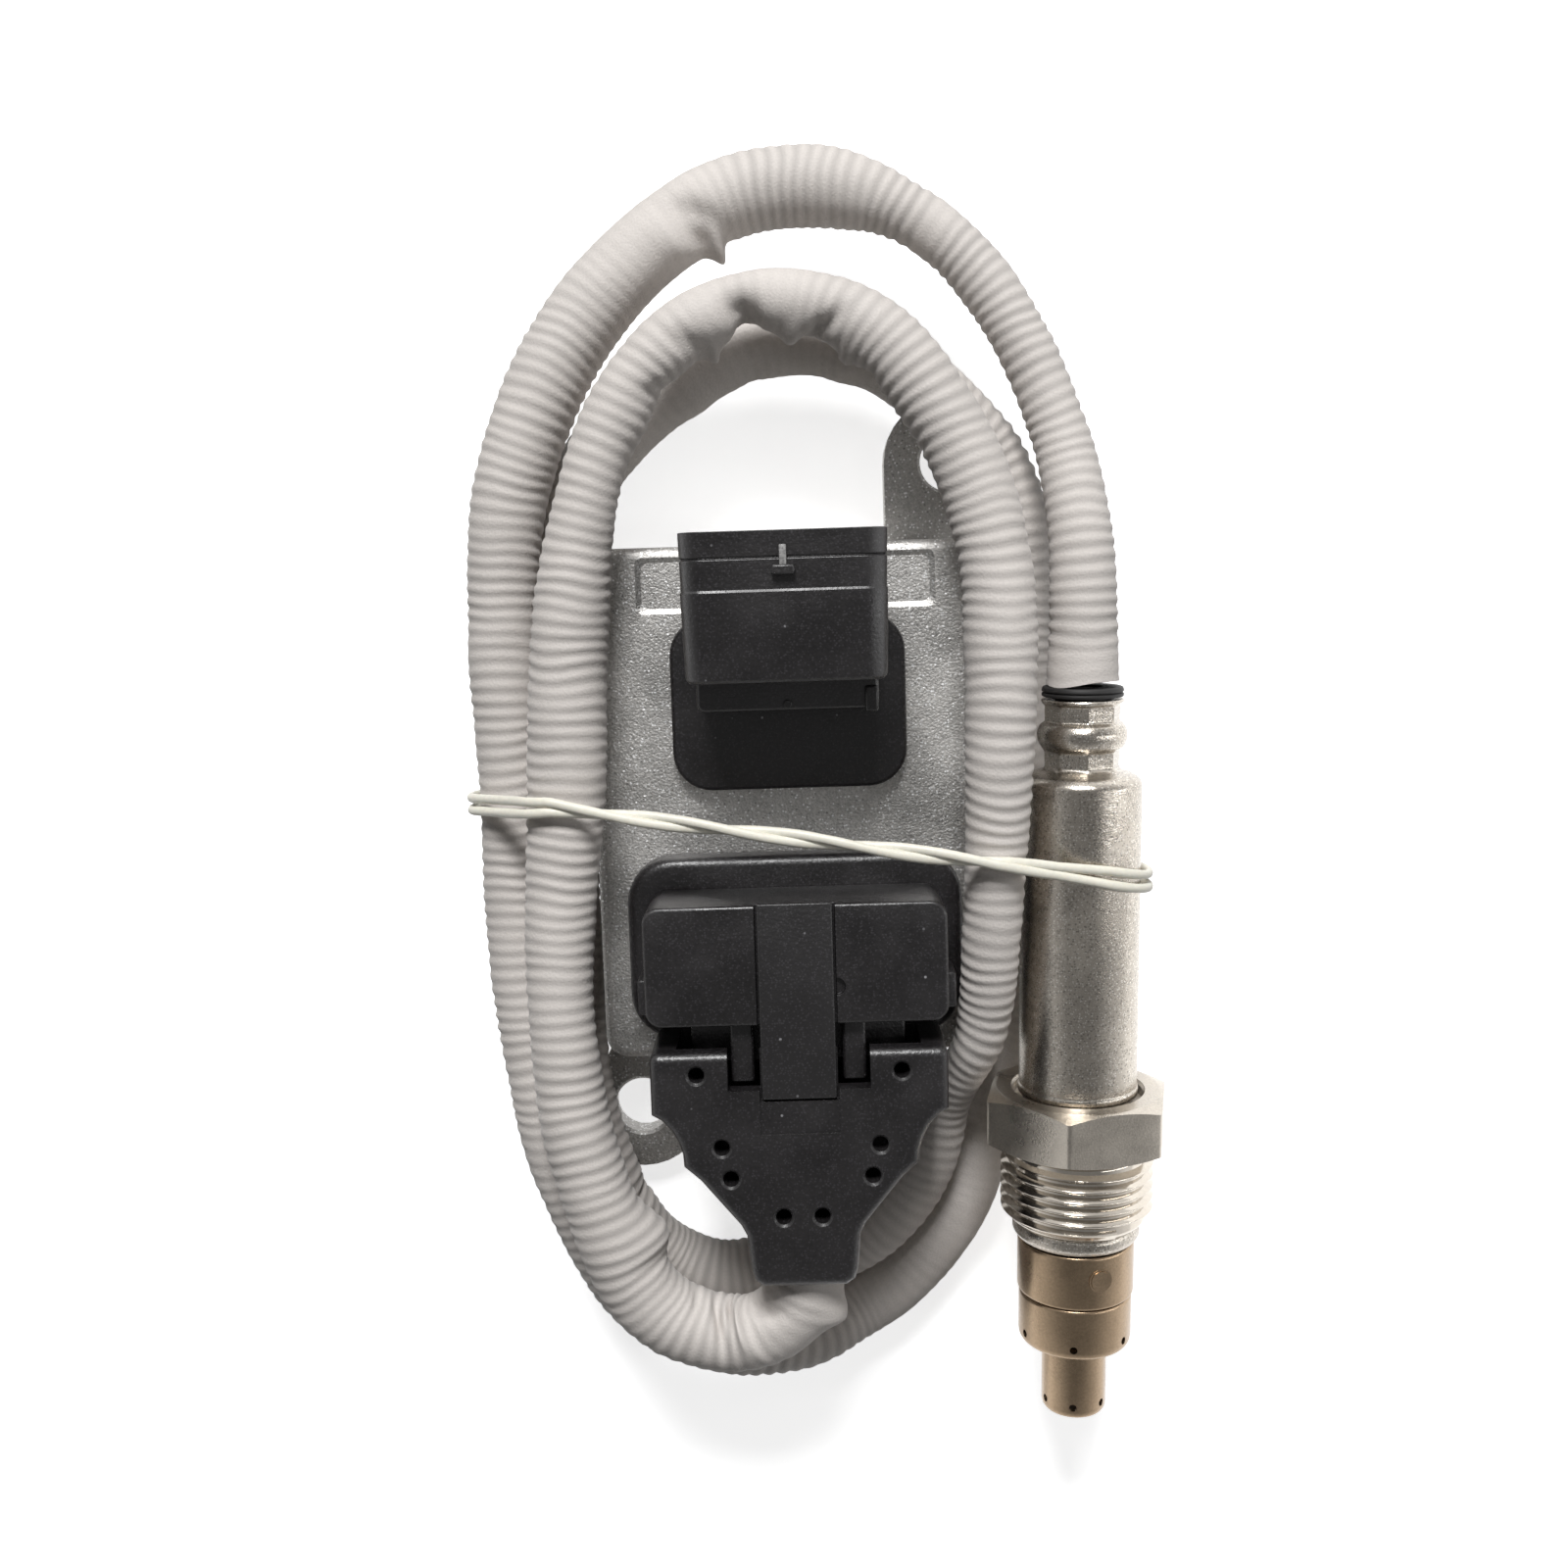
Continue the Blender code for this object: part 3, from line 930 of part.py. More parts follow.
# Sleeve and band
def smooth_route(steps=16):
    """Smooth curve through the route: list of (place, radius)."""
    pts = [Vector(p) for p in ROUTE]
    pts.insert(0, 2 * pts[0] - pts[1])
    pts.append(2 * pts[-1] - pts[-2])
    out = []
    for i in range(1, len(pts) - 2):
        a, b, c, d = pts[i - 1], pts[i], pts[i + 1], pts[i + 2]
        for k in range(steps):
            t = k / steps
            out.append(0.5 * (2 * b + (c - a) * t + (2 * a - 5 * b + 4 * c - d) * t * t
                              + (3 * b - a - 3 * c + d) * t ** 3))
    out.append(pts[-2])
    for _ in range(40):
        new = list(out)
        for i in range(STRAIGHT_START + 2, len(out) - STRAIGHT_START - 2):
            new[i] = 0.25 * out[i - 1] + 0.5 * out[i] + 0.25 * out[i + 1]
        out = new
    return [(Vector(p[:3]) * MM, p[3] * MM) for p in out]


def cord_points():
    """Points of the cord's solid: closer in bends, wider apart on straights."""
    curve = smooth_route()
    keep = [curve[0], curve[STRAIGHT_START]]
    last_dir = (curve[1][0] - curve[0][0]).normalized()
    travelled = 0.0
    for (p, r), (q, _) in zip(curve[STRAIGHT_START:], curve[STRAIGHT_START + 1:]):
        step = q - p
        travelled += step.length
        turned = last_dir.angle(step.normalized())
        if turned > MAX_TURN or travelled > MAX_STEP:
            keep.append((p, r))
            last_dir = step.normalized()
            travelled = 0.0
    keep.append(curve[-1])
    return keep


def make_cord(look):
    """The corrugated sleeve as a plain tube along its whole route."""
    data = bpy.data.curves.new("cable_sleeve", "CURVE")
    data.dimensions = "3D"
    data.bevel_depth = 1.0 * MM
    data.bevel_resolution = 3
    data.use_fill_caps = True
    spline = data.splines.new("POLY")
    points = cord_points()
    spline.points.add(len(points) - 1)
    for point, (place, radius) in zip(spline.points, points):
        point.co = (*place, 1.0)
        point.radius = radius / MM
    data.materials.append(look)
    obj = bpy.data.objects.new("cable_sleeve", data)
    bpy.context.collection.objects.link(obj)


def band_section():
    """Circles (x, z, radius) of what the band goes round, where it crosses each of them."""
    circles = []
    curve = smooth_route()
    for i in range(4, len(curve) - 4):
        p, r = curve[i]
        if abs(p.y - band_y(p.x)) < 1.2 * MM:
            circles.append((p.x, p.z, r))
    mat = probe_matrix()
    for k in range(60):
        q = mat @ Vector((0, 0, k * MM))
        if abs(q.y - band_y(q.x)) < 1.0 * MM:
            circles.append((q.x, q.z, SHELL_R))
    half = HOUSING_WIDTH / 2
    circles.append((-half, HOUSING_BACK_Z, 0.0))
    circles.append((half, HOUSING_BACK_Z, 0.0))
    return circles


def band_y(x):
    """Y of the band's slanting plane at x."""
    left, right = -42.0 * MM, 45.0 * MM
    return BAND_LEFT_Y + (BAND_RIGHT_Y - BAND_LEFT_Y) * (x - left) / (right - left)


def hull(points):
    """Convex hull of 2-D points, counter-clockwise."""
    points = sorted(set(points))
    halves = []
    for seq in (points, list(reversed(points))):
        chain = []
        for p in seq:
            while len(chain) > 1 and ((chain[-1][0] - chain[-2][0]) * (p[1] - chain[-2][1])
                                      - (chain[-1][1] - chain[-2][1]) * (p[0] - chain[-2][0])) <= 0:
                chain.pop()
            chain.append(p)
        halves.append(chain[:-1])
    return halves[0] + halves[1]


def make_band(look):
    """Elastic band round the whole bundle, as one flat closed loop."""
    away = BAND_THICKNESS / 2 + GAP
    cloud = []
    for x, z, r in band_section():
        for k in range(48):
            a = 2 * math.pi * k / 48
            reach = r + away
            low = BAND_THICKNESS / 2 + 0.1 * MM
            cloud.append((round(x + reach * math.cos(a), 7), round(max(low, z + reach * math.sin(a)), 7)))
    loop = [p for p in hull(cloud)]
    clean = [loop[0]]
    for p in loop[1:]:
        if math.hypot(p[0] - clean[-1][0], p[1] - clean[-1][1]) > 1.0 * MM:
            clean.append(p)
    bm = bmesh.new()
    rows = []
    n = len(clean)
    for i, (x, z) in enumerate(clean):
        ax, az = clean[i - 1]
        bx, bz = clean[(i + 1) % n]
        tangent = Vector((bx - ax, band_y(bx) - band_y(ax), bz - az)).normalized()
        out = Vector((tangent.z, 0, -tangent.x)).normalized()
        side = tangent.cross(out).normalized()
        centre = Vector((x, band_y(x), z))
        ring = []
        for u, v in circle(1.0, 0, 0, 8):
            ring.append(bm.verts.new(centre + side * u * BAND_WIDTH / 2 + out * v * BAND_THICKNESS / 2))
        rows.append(ring)
    for k in range(n):
        a, b = rows[k], rows[(k + 1) % n]
        for i in range(8):
            j = (i + 1) % 8
            bm.faces.new((a[i], a[j], b[j], b[i]))
    finish("tie_band", bm, look)


# Whole part
def rigid_bounds():
    """Lowest and highest corner of all the pieces but the sleeve, as built."""
    graph = bpy.context.evaluated_depsgraph_get()
    corners = []
    for obj in bpy.context.scene.objects:
        if obj.type == "MESH" and not obj.hide_render:
            built = obj.evaluated_get(graph)
            corners += [built.matrix_world @ v.co for v in built.to_mesh().vertices]
            built.to_mesh_clear()
    low = Vector([min(p[k] for p in corners) for k in range(3)])
    high = Vector([max(p[k] for p in corners) for k in range(3)])
    return low, high


def shift_to_row():
    """Move the object so that the row's origin is at the middle of its footprint."""
    low, high = rigid_bounds()
    parent = bpy.data.objects.new("row_origin", None)
    bpy.context.collection.objects.link(parent)
    for obj in list(bpy.context.scene.objects):
        if obj is not parent:
            obj.parent = parent
    parent.location = (-(low.x + high.x) / 2, -(low.y + high.y) / 2, -low.z)


def main():
    """Build every piece."""
    for obj in list(bpy.data.objects):
        bpy.data.objects.remove(obj, do_unlink=True)
    cast = material("cast_aluminium", (0.30, 0.30, 0.31), 0.5, 1.0)
    sheet = material("sheet_aluminium", (0.45, 0.45, 0.46), 0.4, 1.0)
    black = material("black_plastic", (0.013, 0.013, 0.014), 0.5)
    latch = material("latch_plastic", (0.016, 0.016, 0.017), 0.5)
    rubber = material("black_rubber", (0.02, 0.02, 0.02), 0.8)
    seal = material("seal_silicone", (0.25, 0.08, 0.04), 0.6)
    board = material("board_laminate", (0.02, 0.12, 0.05), 0.5)
    chip = material("chip_resin", (0.02, 0.02, 0.02), 0.4)
    can = material("capacitor_can", (0.5, 0.5, 0.52), 0.3, 1.0)
    tin = material("tinned_contact", (0.7, 0.68, 0.62), 0.3, 1.0)
    screw = material("zinc_screw", (0.55, 0.55, 0.56), 0.35, 1.0)
    steel = material("satin_stainless", (0.42, 0.40, 0.37), 0.35, 1.0)
    bright = material("machined_stainless", (0.50, 0.48, 0.44), 0.25, 1.0)
    nickel = material("heat_tinted_nickel", (0.22, 0.18, 0.13), 0.35, 1.0)
    ceramic = material("white_ceramic", (0.8, 0.79, 0.75), 0.5)
    talc = material("pressed_talc", (0.7, 0.68, 0.62), 0.9)
    sleeve = material("grey_silicone_sleeve", (0.56, 0.54, 0.51), 0.6)
    band = material("ivory_elastic", (0.78, 0.76, 0.68), 0.7)
    wire = material("wire_insulation", (0.75, 0.75, 0.72), 0.5)

    make_housing(cast)
    make_back(sheet, seal)
    make_board(board, screw, chip, can)
    make_harness_connector(black)
    make_harness_contacts(tin, seal)
    make_header(black, tin, seal)
    make_plug(black, seal, tin)
    make_latch(latch)
    make_cover(black)
    make_grommet(rubber)
    make_shell(steel)
    make_nut(bright)
    make_body(steel)
    make_shields(nickel, nickel, nickel)
    make_core(ceramic, talc, ceramic, tin, wire)
    make_cord(sleeve)
    make_band(band)
    shift_to_row()


main()
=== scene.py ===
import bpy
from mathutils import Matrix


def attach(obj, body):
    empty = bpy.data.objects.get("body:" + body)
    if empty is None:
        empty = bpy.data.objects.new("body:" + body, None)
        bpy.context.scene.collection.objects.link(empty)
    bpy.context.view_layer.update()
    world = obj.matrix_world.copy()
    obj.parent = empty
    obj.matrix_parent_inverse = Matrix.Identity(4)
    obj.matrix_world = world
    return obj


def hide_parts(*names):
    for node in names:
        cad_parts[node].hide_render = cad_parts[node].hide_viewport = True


bl_info = {
    "name": "Exhaust Sensor Bundle",
    "version": (1, 0, 0),
    "blender": (4, 5, 0),
    "location": "3D View > Sidebar > Sensor",
    "description": "Builds a nitrogen oxide sensor with its control unit, coiled sleeve cable and tie band",
    "category": "Add Mesh",
}

import math

import bmesh
import bpy
from bpy.props import FloatProperty, FloatVectorProperty, PointerProperty
from mathutils import Matrix, Vector, noise

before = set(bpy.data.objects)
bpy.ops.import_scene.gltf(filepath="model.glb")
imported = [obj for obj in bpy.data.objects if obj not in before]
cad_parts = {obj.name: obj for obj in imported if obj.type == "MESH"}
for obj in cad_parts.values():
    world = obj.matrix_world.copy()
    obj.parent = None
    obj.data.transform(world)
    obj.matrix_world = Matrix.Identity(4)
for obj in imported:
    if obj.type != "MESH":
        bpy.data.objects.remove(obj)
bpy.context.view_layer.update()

MM = 0.001
ORIGIN = Vector((2.66, -14.778, 0.0)) * MM        # the frame's origin, seen from the middle of the unit
RIGID = "sensor"                  # body of all pieces but the nut
TURNING = "nut"
SAME_HEIGHT = 1e-6                # heights this close belong to one rim
MERGE = 0.5e-6                    # vertices this close after a bevel are one
CORNER_STEPS = 4                  # steps in a softened corner of a turned profile
HARNESS_AT = (0.0, 13.45 * MM)    # middle of the harness connector's flange
HEADER_AT = (0.0, -18.2 * MM)     # middle of the sensor header's flange
PLUG_AT = (0.0, -17.7 * MM)       # middle of the sensor plug
EAR_AT = (22.5 * MM, 44.2 * MM)   # middle of the upper ear's hole
PROBE_AT = (37.05, 14.6, 22.45)   # top of the grommet, in millimetres
PROBE_TILT = 2.0                  # degrees that the tip dips
NUT_TURN = 90 - 14                # degrees that a corner of the hexagon is turned
CAMERA_AT = (1.745, 27.927)       # over this spot, in millimetres
# CAMERA_TURN holds the directions right, up and back of the camera.
CAMERA_TURN = ((0.99947, -0.03118, -0.00902), (0.02987, 0.99228, -0.12033), (0.01271, 0.11999, 0.99269))


def linear(code):
    """Turn an sRGB hex value into linear RGBA."""
    channels = [int(code[i:i + 2], 16) / 255 for i in (1, 3, 5)]
    return [c / 12.92 if c <= 0.04045 else ((c + 0.055) / 1.055) ** 2.4 for c in channels] + [1.0]


def mm(*values):
    """Millimetres as metres."""
    return [value * MM for value in values]


def millimetres(points):
    """Points or a profile written in millimetres, as metres."""
    return [mm(*point) for point in points]


def rgba(colour):
    """A colour setting as RGBA."""
    return list(colour) + [1.0]


def length_prop(name, text, value):
    """A length, given in millimetres and kept in metres."""
    return FloatProperty(name=name, description=text, default=value * MM, min=0.0, unit="LENGTH",
                         precision=5)


def colour_prop(name, text, code):
    """A colour given as an sRGB hex value."""
    return FloatVectorProperty(name=name, description=text, default=linear(code)[:3], size=3, min=0.0,
                               max=1.0, subtype="COLOR")


class UnitSettings(bpy.types.PropertyGroup):
    """Sizes and colours of the control unit."""
    width: length_prop("Width", "Housing from side to side", 51.6)
    length: length_prop("Length", "Housing from end to end, without its ears", 67.4)
    back_z: length_prop("Back", "Height of the housing's back rim over the table", 1.6)
    face_z: length_prop("Face", "Height of the housing's face over the table", 16.4)
    corner: length_prop("Corner radius", "Radius of the housing's upright corners", 3.0)
    edge: length_prop("Edge radius", "Rounding along the face", 1.4)
    ear_thickness: length_prop("Ear thickness", "Thickness of the two fixing ears", 4.0)
    ear_radius: length_prop("Ear radius", "Round end of an ear", 8.8)
    hole_radius: length_prop("Ear hole radius", "Hole for the fixing screw", 3.9)
    cast: colour_prop("Cast aluminium", "Blasted casting", "#C0BEBB")


class PlugSettings(bpy.types.PropertyGroup):
    """Sizes and colours of the connectors and the plug."""
    shroud_width: length_prop("Shroud width", "Harness shroud from side to side", 23.6)
    shroud_wall: length_prop("Shroud wall", "Wall of the harness shroud", 1.8)
    socket_depth: length_prop("Socket depth", "Depth of the harness socket", 14.2)
    plug_width: length_prop("Plug width", "Sensor plug from side to side", 37.3)
    plug_height: length_prop("Plug length", "Sensor plug along the unit", 15.0)
    strip_width: length_prop("Latch width", "Sprung latch strip", 9.2)
    cover_edge: length_prop("Cover edge", "Rounding of the strain relief cover", 1.5)
    hole_radius: length_prop("Cover hole radius", "Round holes of the cover", 1.0)
    plastic: colour_prop("Black plastic", "Glass-filled moulded plastic", "#1B191A")


class ProbeSettings(bpy.types.PropertyGroup):
    """Sizes and colours of the probe."""
    shell_radius: length_prop("Shell radius", "Upper steel tube", 7.6)
    flats: length_prop("Across flats", "Hexagon of the swivel nut", 22.0)
    thread_radius: length_prop("Thread radius", "Crest of the thread", 9.93)
    thread_pitch: length_prop("Thread pitch", "Distance from crest to crest", 1.5)
    thread_depth: length_prop("Thread depth", "Height of the thread's ridge", 0.85)
    shield_radius: length_prop("Shield radius", "Gas shield", 7.38)
    tip_radius: length_prop("Tip radius", "Tip tube", 4.23)
    gas_hole: length_prop("Gas hole radius", "Small holes round the shield and the tip", 0.5)
    steel: colour_prop("Satin steel", "Blasted stainless shell", "#B8B1A7")
    tinted: colour_prop("Tinted nickel", "Shield that was warmed in test", "#A18C74")


class SleeveSettings(bpy.types.PropertyGroup):
    """Sizes and colours of the sleeve and the band."""
    pitch: length_prop("Rib pitch", "Distance from rib to rib", 1.72)
    depth: length_prop("Rib depth", "Depth of the groove between ribs", 0.22)
    diameter: length_prop("Sleeve diameter", "Usual outside diameter", 9.2)
    strand: length_prop("Band strand", "Thickness of a strand of the band", 1.2)
    grey: colour_prop("Sleeve grey", "Warm light grey silicone", "#D2CCC7")
    ivory: colour_prop("Band ivory", "Elastic band", "#E6E3D6")


class StageSettings(bpy.types.PropertyGroup):
    """Camera and floor."""
    lens: FloatProperty(name="Lens", description="Focal length of the camera", default=37.125, unit="CAMERA")
    camera_height: length_prop("Camera height", "Height of the camera over the table", 226.0)
    floor: colour_prop("Floor", "Pale floor", "#FFFFFF")


# ROUTE holds x, y, z and radius of the sleeve in millimetres, from the cover's mouth to the probe.
ROUTE = [
    (0.0, -58.95, 26.5, 4.9), (0.0, -59.8, 26.5, 4.88), (0.0, -60.9, 26.5, 4.83),
    (-1.8, -64.7, 26.0, 4.85), (-5.4, -67.7, 25.2, 4.95), (-10.4, -68.6, 24.6, 5.05),
    (-17.7, -66.2, 24.6, 5.1), (-22.0, -61.2, 25.3, 5.0), (-24.3, -55.2, 26.3, 4.85),
    (-26.1, -49.6, 26.7, 4.7), (-28.4, -40.5, 27.1, 4.65), (-29.5, -30.8, 26.8, 4.4),
    (-30.1, -21.1, 26.3, 4.35), (-29.3, -8.5, 25.2, 4.7), (-28.3, 2.0, 24.5, 5.0),
    (-27.8, 9.6, 24.5, 5.1), (-27.2, 19.0, 24.5, 5.0), (-26.3, 28.2, 24.5, 4.9),
    (-25.0, 36.0, 24.2, 4.2), (-22.7, 44.3, 23.8, 4.0), (-19.4, 51.3, 23.2, 4.0),
    (-14.9, 57.1, 22.6, 4.0), (-9.3, 61.0, 22.2, 4.05), (-3.8, 62.7, 22.2, 3.9),
    (1.0, 62.9, 22.4, 3.9), (7.0, 61.6, 22.6, 4.1), (12.0, 58.8, 22.8, 4.5),
    (16.3, 54.0, 23.2, 4.6), (20.0, 48.5, 23.8, 4.6), (23.2, 41.8, 24.6, 4.6),
    (25.1, 34.9, 25.4, 4.6), (26.1, 28.1, 26.3, 4.6), (26.3, 20.5, 27.3, 4.6),
    (26.1, 12.8, 28.0, 4.4), (25.6, 0.8, 28.0, 4.15), (25.0, -9.7, 27.3, 3.85),
    (24.4, -19.7, 25.7, 3.75), (24.0, -26.5, 23.6, 3.6), (23.0, -31.5, 22.2, 3.3),
    (21.2, -36.0, 18.9, 3.15), (19.5, -41.0, 14.8, 3.4), (18.3, -46.5, 12.9, 3.9),
    (16.1, -52.0, 12.2, 4.2), (12.5, -57.3, 11.5, 4.4), (7.5, -62.1, 10.0, 4.5),
    (-0.4, -65.5, 7.4, 4.5), (-6.7, -68.1, 5.6, 4.6), (-12.5, -68.9, 5.1, 4.67),
    (-18.6, -66.5, 5.1, 4.73), (-23.3, -61.7, 6.8, 4.75), (-26.8, -53.5, 9.3, 4.65),
    (-29.1, -45.5, 9.4, 4.6), (-30.7, -37.8, 9.2, 4.6), (-31.1, -30.4, 7.9, 4.6),
    (-31.2, -19.5, 6.8, 4.6), (-31.2, -5.8, 6.8, 4.6), (-31.2, 7.7, 6.8, 4.6),
    (-31.0, 21.0, 6.8, 4.6), (-31.0, 30.0, 6.9, 4.6), (-30.4, 36.6, 7.4, 4.6),
    (-26.4, 43.6, 8.2, 4.6), (-19.8, 50.2, 9.2, 4.6), (-14.8, 53.9, 10.2, 4.6),
    (-9.5, 57.1, 10.8, 4.6), (-3.7, 59.2, 11.0, 4.6), (2.7, 59.9, 11.2, 4.6),
    (8.4, 59.1, 11.2, 4.6), (14.1, 56.8, 11.0, 4.6), (19.5, 53.0, 10.6, 4.6),
    (24.0, 48.5, 10.2, 4.6), (27.9, 43.7, 9.7, 4.6), (30.2, 37.9, 9.6, 4.58),
    (31.1, 32.2, 8.9, 4.56), (31.2, 24.4, 7.2, 4.54), (30.9, 13.8, 6.9, 4.52),
    (30.7, 0.5, 6.9, 4.5), (30.7, -13.1, 6.9, 4.51), (31.0, -27.0, 6.2, 4.5),
    (30.3, -34.2, 5.1, 4.42), (26.5, -42.4, 4.9, 4.45), (24.9, -48.3, 5.0, 4.5),
    (23.2, -56.1, 5.3, 4.59), (19.5, -62.6, 5.4, 4.6), (15.6, -67.3, 5.5, 4.6),
    (11.3, -71.1, 5.8, 4.6), (6.5, -73.8, 6.6, 4.6), (1.0, -75.8, 9.4, 4.6),
    (-4.8, -76.0, 11.8, 4.6), (-11.0, -74.7, 13.6, 4.6), (-17.1, -72.1, 14.9, 4.6),
    (-22.4, -67.7, 16.0, 4.6), (-26.3, -61.3, 17.1, 4.55), (-29.6, -53.7, 18.2, 4.5),
    (-32.4, -44.9, 18.8, 4.53), (-34.1, -35.5, 18.5, 4.6), (-35.5, -26.3, 17.4, 4.65),
    (-36.3, -17.2, 16.6, 4.65), (-36.5, -8.1, 16.3, 4.65), (-36.2, 1.7, 16.3, 4.6),
    (-36.5, 10.1, 16.3, 4.6), (-36.8, 17.8, 16.2, 4.65), (-36.5, 26.6, 16.2, 4.7),
    (-35.9, 34.1, 16.3, 4.75), (-34.8, 41.1, 16.2, 4.95), (-32.6, 48.1, 15.7, 5.1),
    (-29.3, 55.8, 14.8, 5.3), (-24.7, 62.9, 14.0, 5.3), (-19.2, 68.9, 13.6, 5.15),
    (-12.5, 74.2, 13.2, 5.03), (-5.1, 77.7, 12.8, 5.1), (2.2, 78.8, 12.6, 5.15),
    (8.1, 78.2, 12.8, 5.0), (14.2, 76.3, 13.2, 4.15), (20.5, 72.3, 13.8, 3.75),
    (25.9, 66.5, 14.6, 3.75), (30.6, 58.7, 15.8, 3.8), (34.1, 49.9, 17.2, 3.8),
    (36.4, 41.1, 19.3, 3.95), (37.15, 31.7, 21.9, 4.15), (37.19, 23.1, 22.72, 4.4),
    (37.13, 19.3, 22.61, 4.55), (37.065, 15.05, 22.47, 4.7),
]
STRAIGHT_START = 16               # curve steps at both ends that the smoothing leaves straight
SMOOTHING_PASSES = 40             # how often the sleeve's curve is evened out
NEAR_SKIN = 9 * MM                # a fold this near the sleeve's line belongs to its nearest ring
RIB_SHAPE = (1.0, 0.6, 0.08, 0.08, 0.6)   # depth of the groove at each ring of a rib


# Mesh tools

def face_outwards(bm):
    """Point every face outwards."""
    bmesh.ops.recalc_face_normals(bm, faces=bm.faces)


def round_edges(bm, chosen, width, steps=3):
    """Round every edge whose two ends pass the test."""
    edges = [e for e in bm.edges if chosen(e.verts[0].co, e.verts[1].co)]
    bmesh.ops.bevel(bm, geom=edges, offset=width, offset_type="OFFSET", segments=steps, profile=0.5,
                    affect="EDGES", clamp_overlap=True, material=-1)
    bmesh.ops.remove_doubles(bm, verts=bm.verts, dist=MERGE)


def block(x0, x1, y0, y1, z0, z1, edge=0.0, steps=2):
    """A box between two corners, its edges rounded."""
    bm = bmesh.new()
    bmesh.ops.create_cube(bm, size=1.0)
    bmesh.ops.scale(bm, vec=(x1 - x0, y1 - y0, z1 - z0), verts=bm.verts)
    bmesh.ops.translate(bm, vec=((x0 + x1) / 2, (y0 + y1) / 2, (z0 + z1) / 2), verts=bm.verts)
    if edge:
        round_edges(bm, lambda a, b: True, edge, steps)
    return bm


def round_rims(bm, z0, z1, top, low, steps):
    """Round the upper and the lower rim of an upright solid."""
    if top:
        round_edges(bm, lambda a, b: min(a.z, b.z) > z1 - SAME_HEIGHT, top, steps)
    if low:
        round_edges(bm, lambda a, b: max(a.z, b.z) < z0 + SAME_HEIGHT, low, 2)
    return bm


def plate(width, length, z0, z1, corner, middle=(0.0, 0.0), top=0.0, low=0.0, steps=4):
    """A plate with round corners, and with rounded rims above and below."""
    x, y = middle
    bm = block(x - width / 2, x + width / 2, y - length / 2, y + length / 2, z0, z1)
    round_edges(bm, lambda a, b: abs(a.z - b.z) > 0.5 * (z1 - z0), corner, 8)
    return round_rims(bm, z0, z1, top, low, steps)


def outline_solid(points, z0, z1, corners=(), top=0.0, low=0.0, steps=4):
    """An upright solid on an outline; corners holds (index, radius) of the corners to round."""
    bm = bmesh.new()
    ring = [bm.verts.new((x, y, z0)) for x, y in points]
    bm.faces.new(ring)
    for index, radius in corners:
        bmesh.ops.bevel(bm, geom=[ring[index]], offset=radius, offset_type="OFFSET", segments=8, profile=0.5,
                        affect="VERTICES", clamp_overlap=True, material=-1)
    bmesh.ops.remove_doubles(bm, verts=bm.verts, dist=SAME_HEIGHT)
    raised = bmesh.ops.extrude_face_region(bm, geom=list(bm.faces))
    moved = [v for v in raised["geom"] if isinstance(v, bmesh.types.BMVert)]
    bmesh.ops.translate(bm, vec=(0, 0, z1 - z0), verts=moved)
    face_outwards(bm)
    return round_rims(bm, z0, z1, top, low, steps)


def rod(start, end, radius, sides=24, end_radius=None):
    """A straight rod or cone between two points."""
    start, end = Vector(start), Vector(end)
    way = end - start
    bm = bmesh.new()
    bmesh.ops.create_cone(bm, cap_ends=True, cap_tris=False, segments=sides, radius1=radius,
                          radius2=radius if end_radius is None else end_radius, depth=way.length)
    turn = Vector((0, 0, 1)).rotation_difference(way.normalized()).to_matrix().to_4x4()
    bmesh.ops.transform(bm, matrix=Matrix.Translation((start + end) / 2) @ turn, verts=bm.verts)
    return bm


def softened(points):
    """Round the corners of a profile of (radius, height, rounding) points."""
    out = []
    last = len(points) - 1
    for i, (r, z, soft) in enumerate(points):
        here = Vector((r, z))
        if soft <= 0 or i in (0, last):
            out.append((r, z))
            continue
        before = Vector(points[i - 1][:2])
        after = Vector(points[i + 1][:2])
        reach = min(soft, 0.48 * (before - here).length, 0.48 * (after - here).length)
        a = here + (before - here).normalized() * reach
        b = here + (after - here).normalized() * reach
        for k in range(CORNER_STEPS + 1):
            t = k / CORNER_STEPS
            out.append(tuple((1 - t) ** 2 * a + 2 * t * (1 - t) * here + t * t * b))
    return out


def turned(points, steps=72, ring=True):
    """Turn a profile of (radius, height, rounding) points about the z axis into a closed solid."""
    bm = bmesh.new()
    line = [bm.verts.new((r, 0.0, z)) for r, z in softened(points)]
    edges = [bm.edges.new(pair) for pair in zip(line, line[1:])]
    if ring:
        edges.append(bm.edges.new((line[-1], line[0])))
    bmesh.ops.spin(bm, geom=line + edges, cent=(0, 0, 0), axis=(0, 0, 1), dvec=(0, 0, 0),
                   angle=2 * math.pi, steps=steps, use_merge=True, use_duplicate=False)
    bmesh.ops.remove_doubles(bm, verts=bm.verts, dist=1e-7)
    face_outwards(bm)
    return bm


def joined(*solids):
    """Put several solids into one mesh."""
    bm = bmesh.new()
    for solid in solids:
        mesh = bpy.data.meshes.new("joining")
        solid.to_mesh(mesh)
        solid.free()
        bm.from_mesh(mesh)
        bpy.data.meshes.remove(mesh)
    return bm


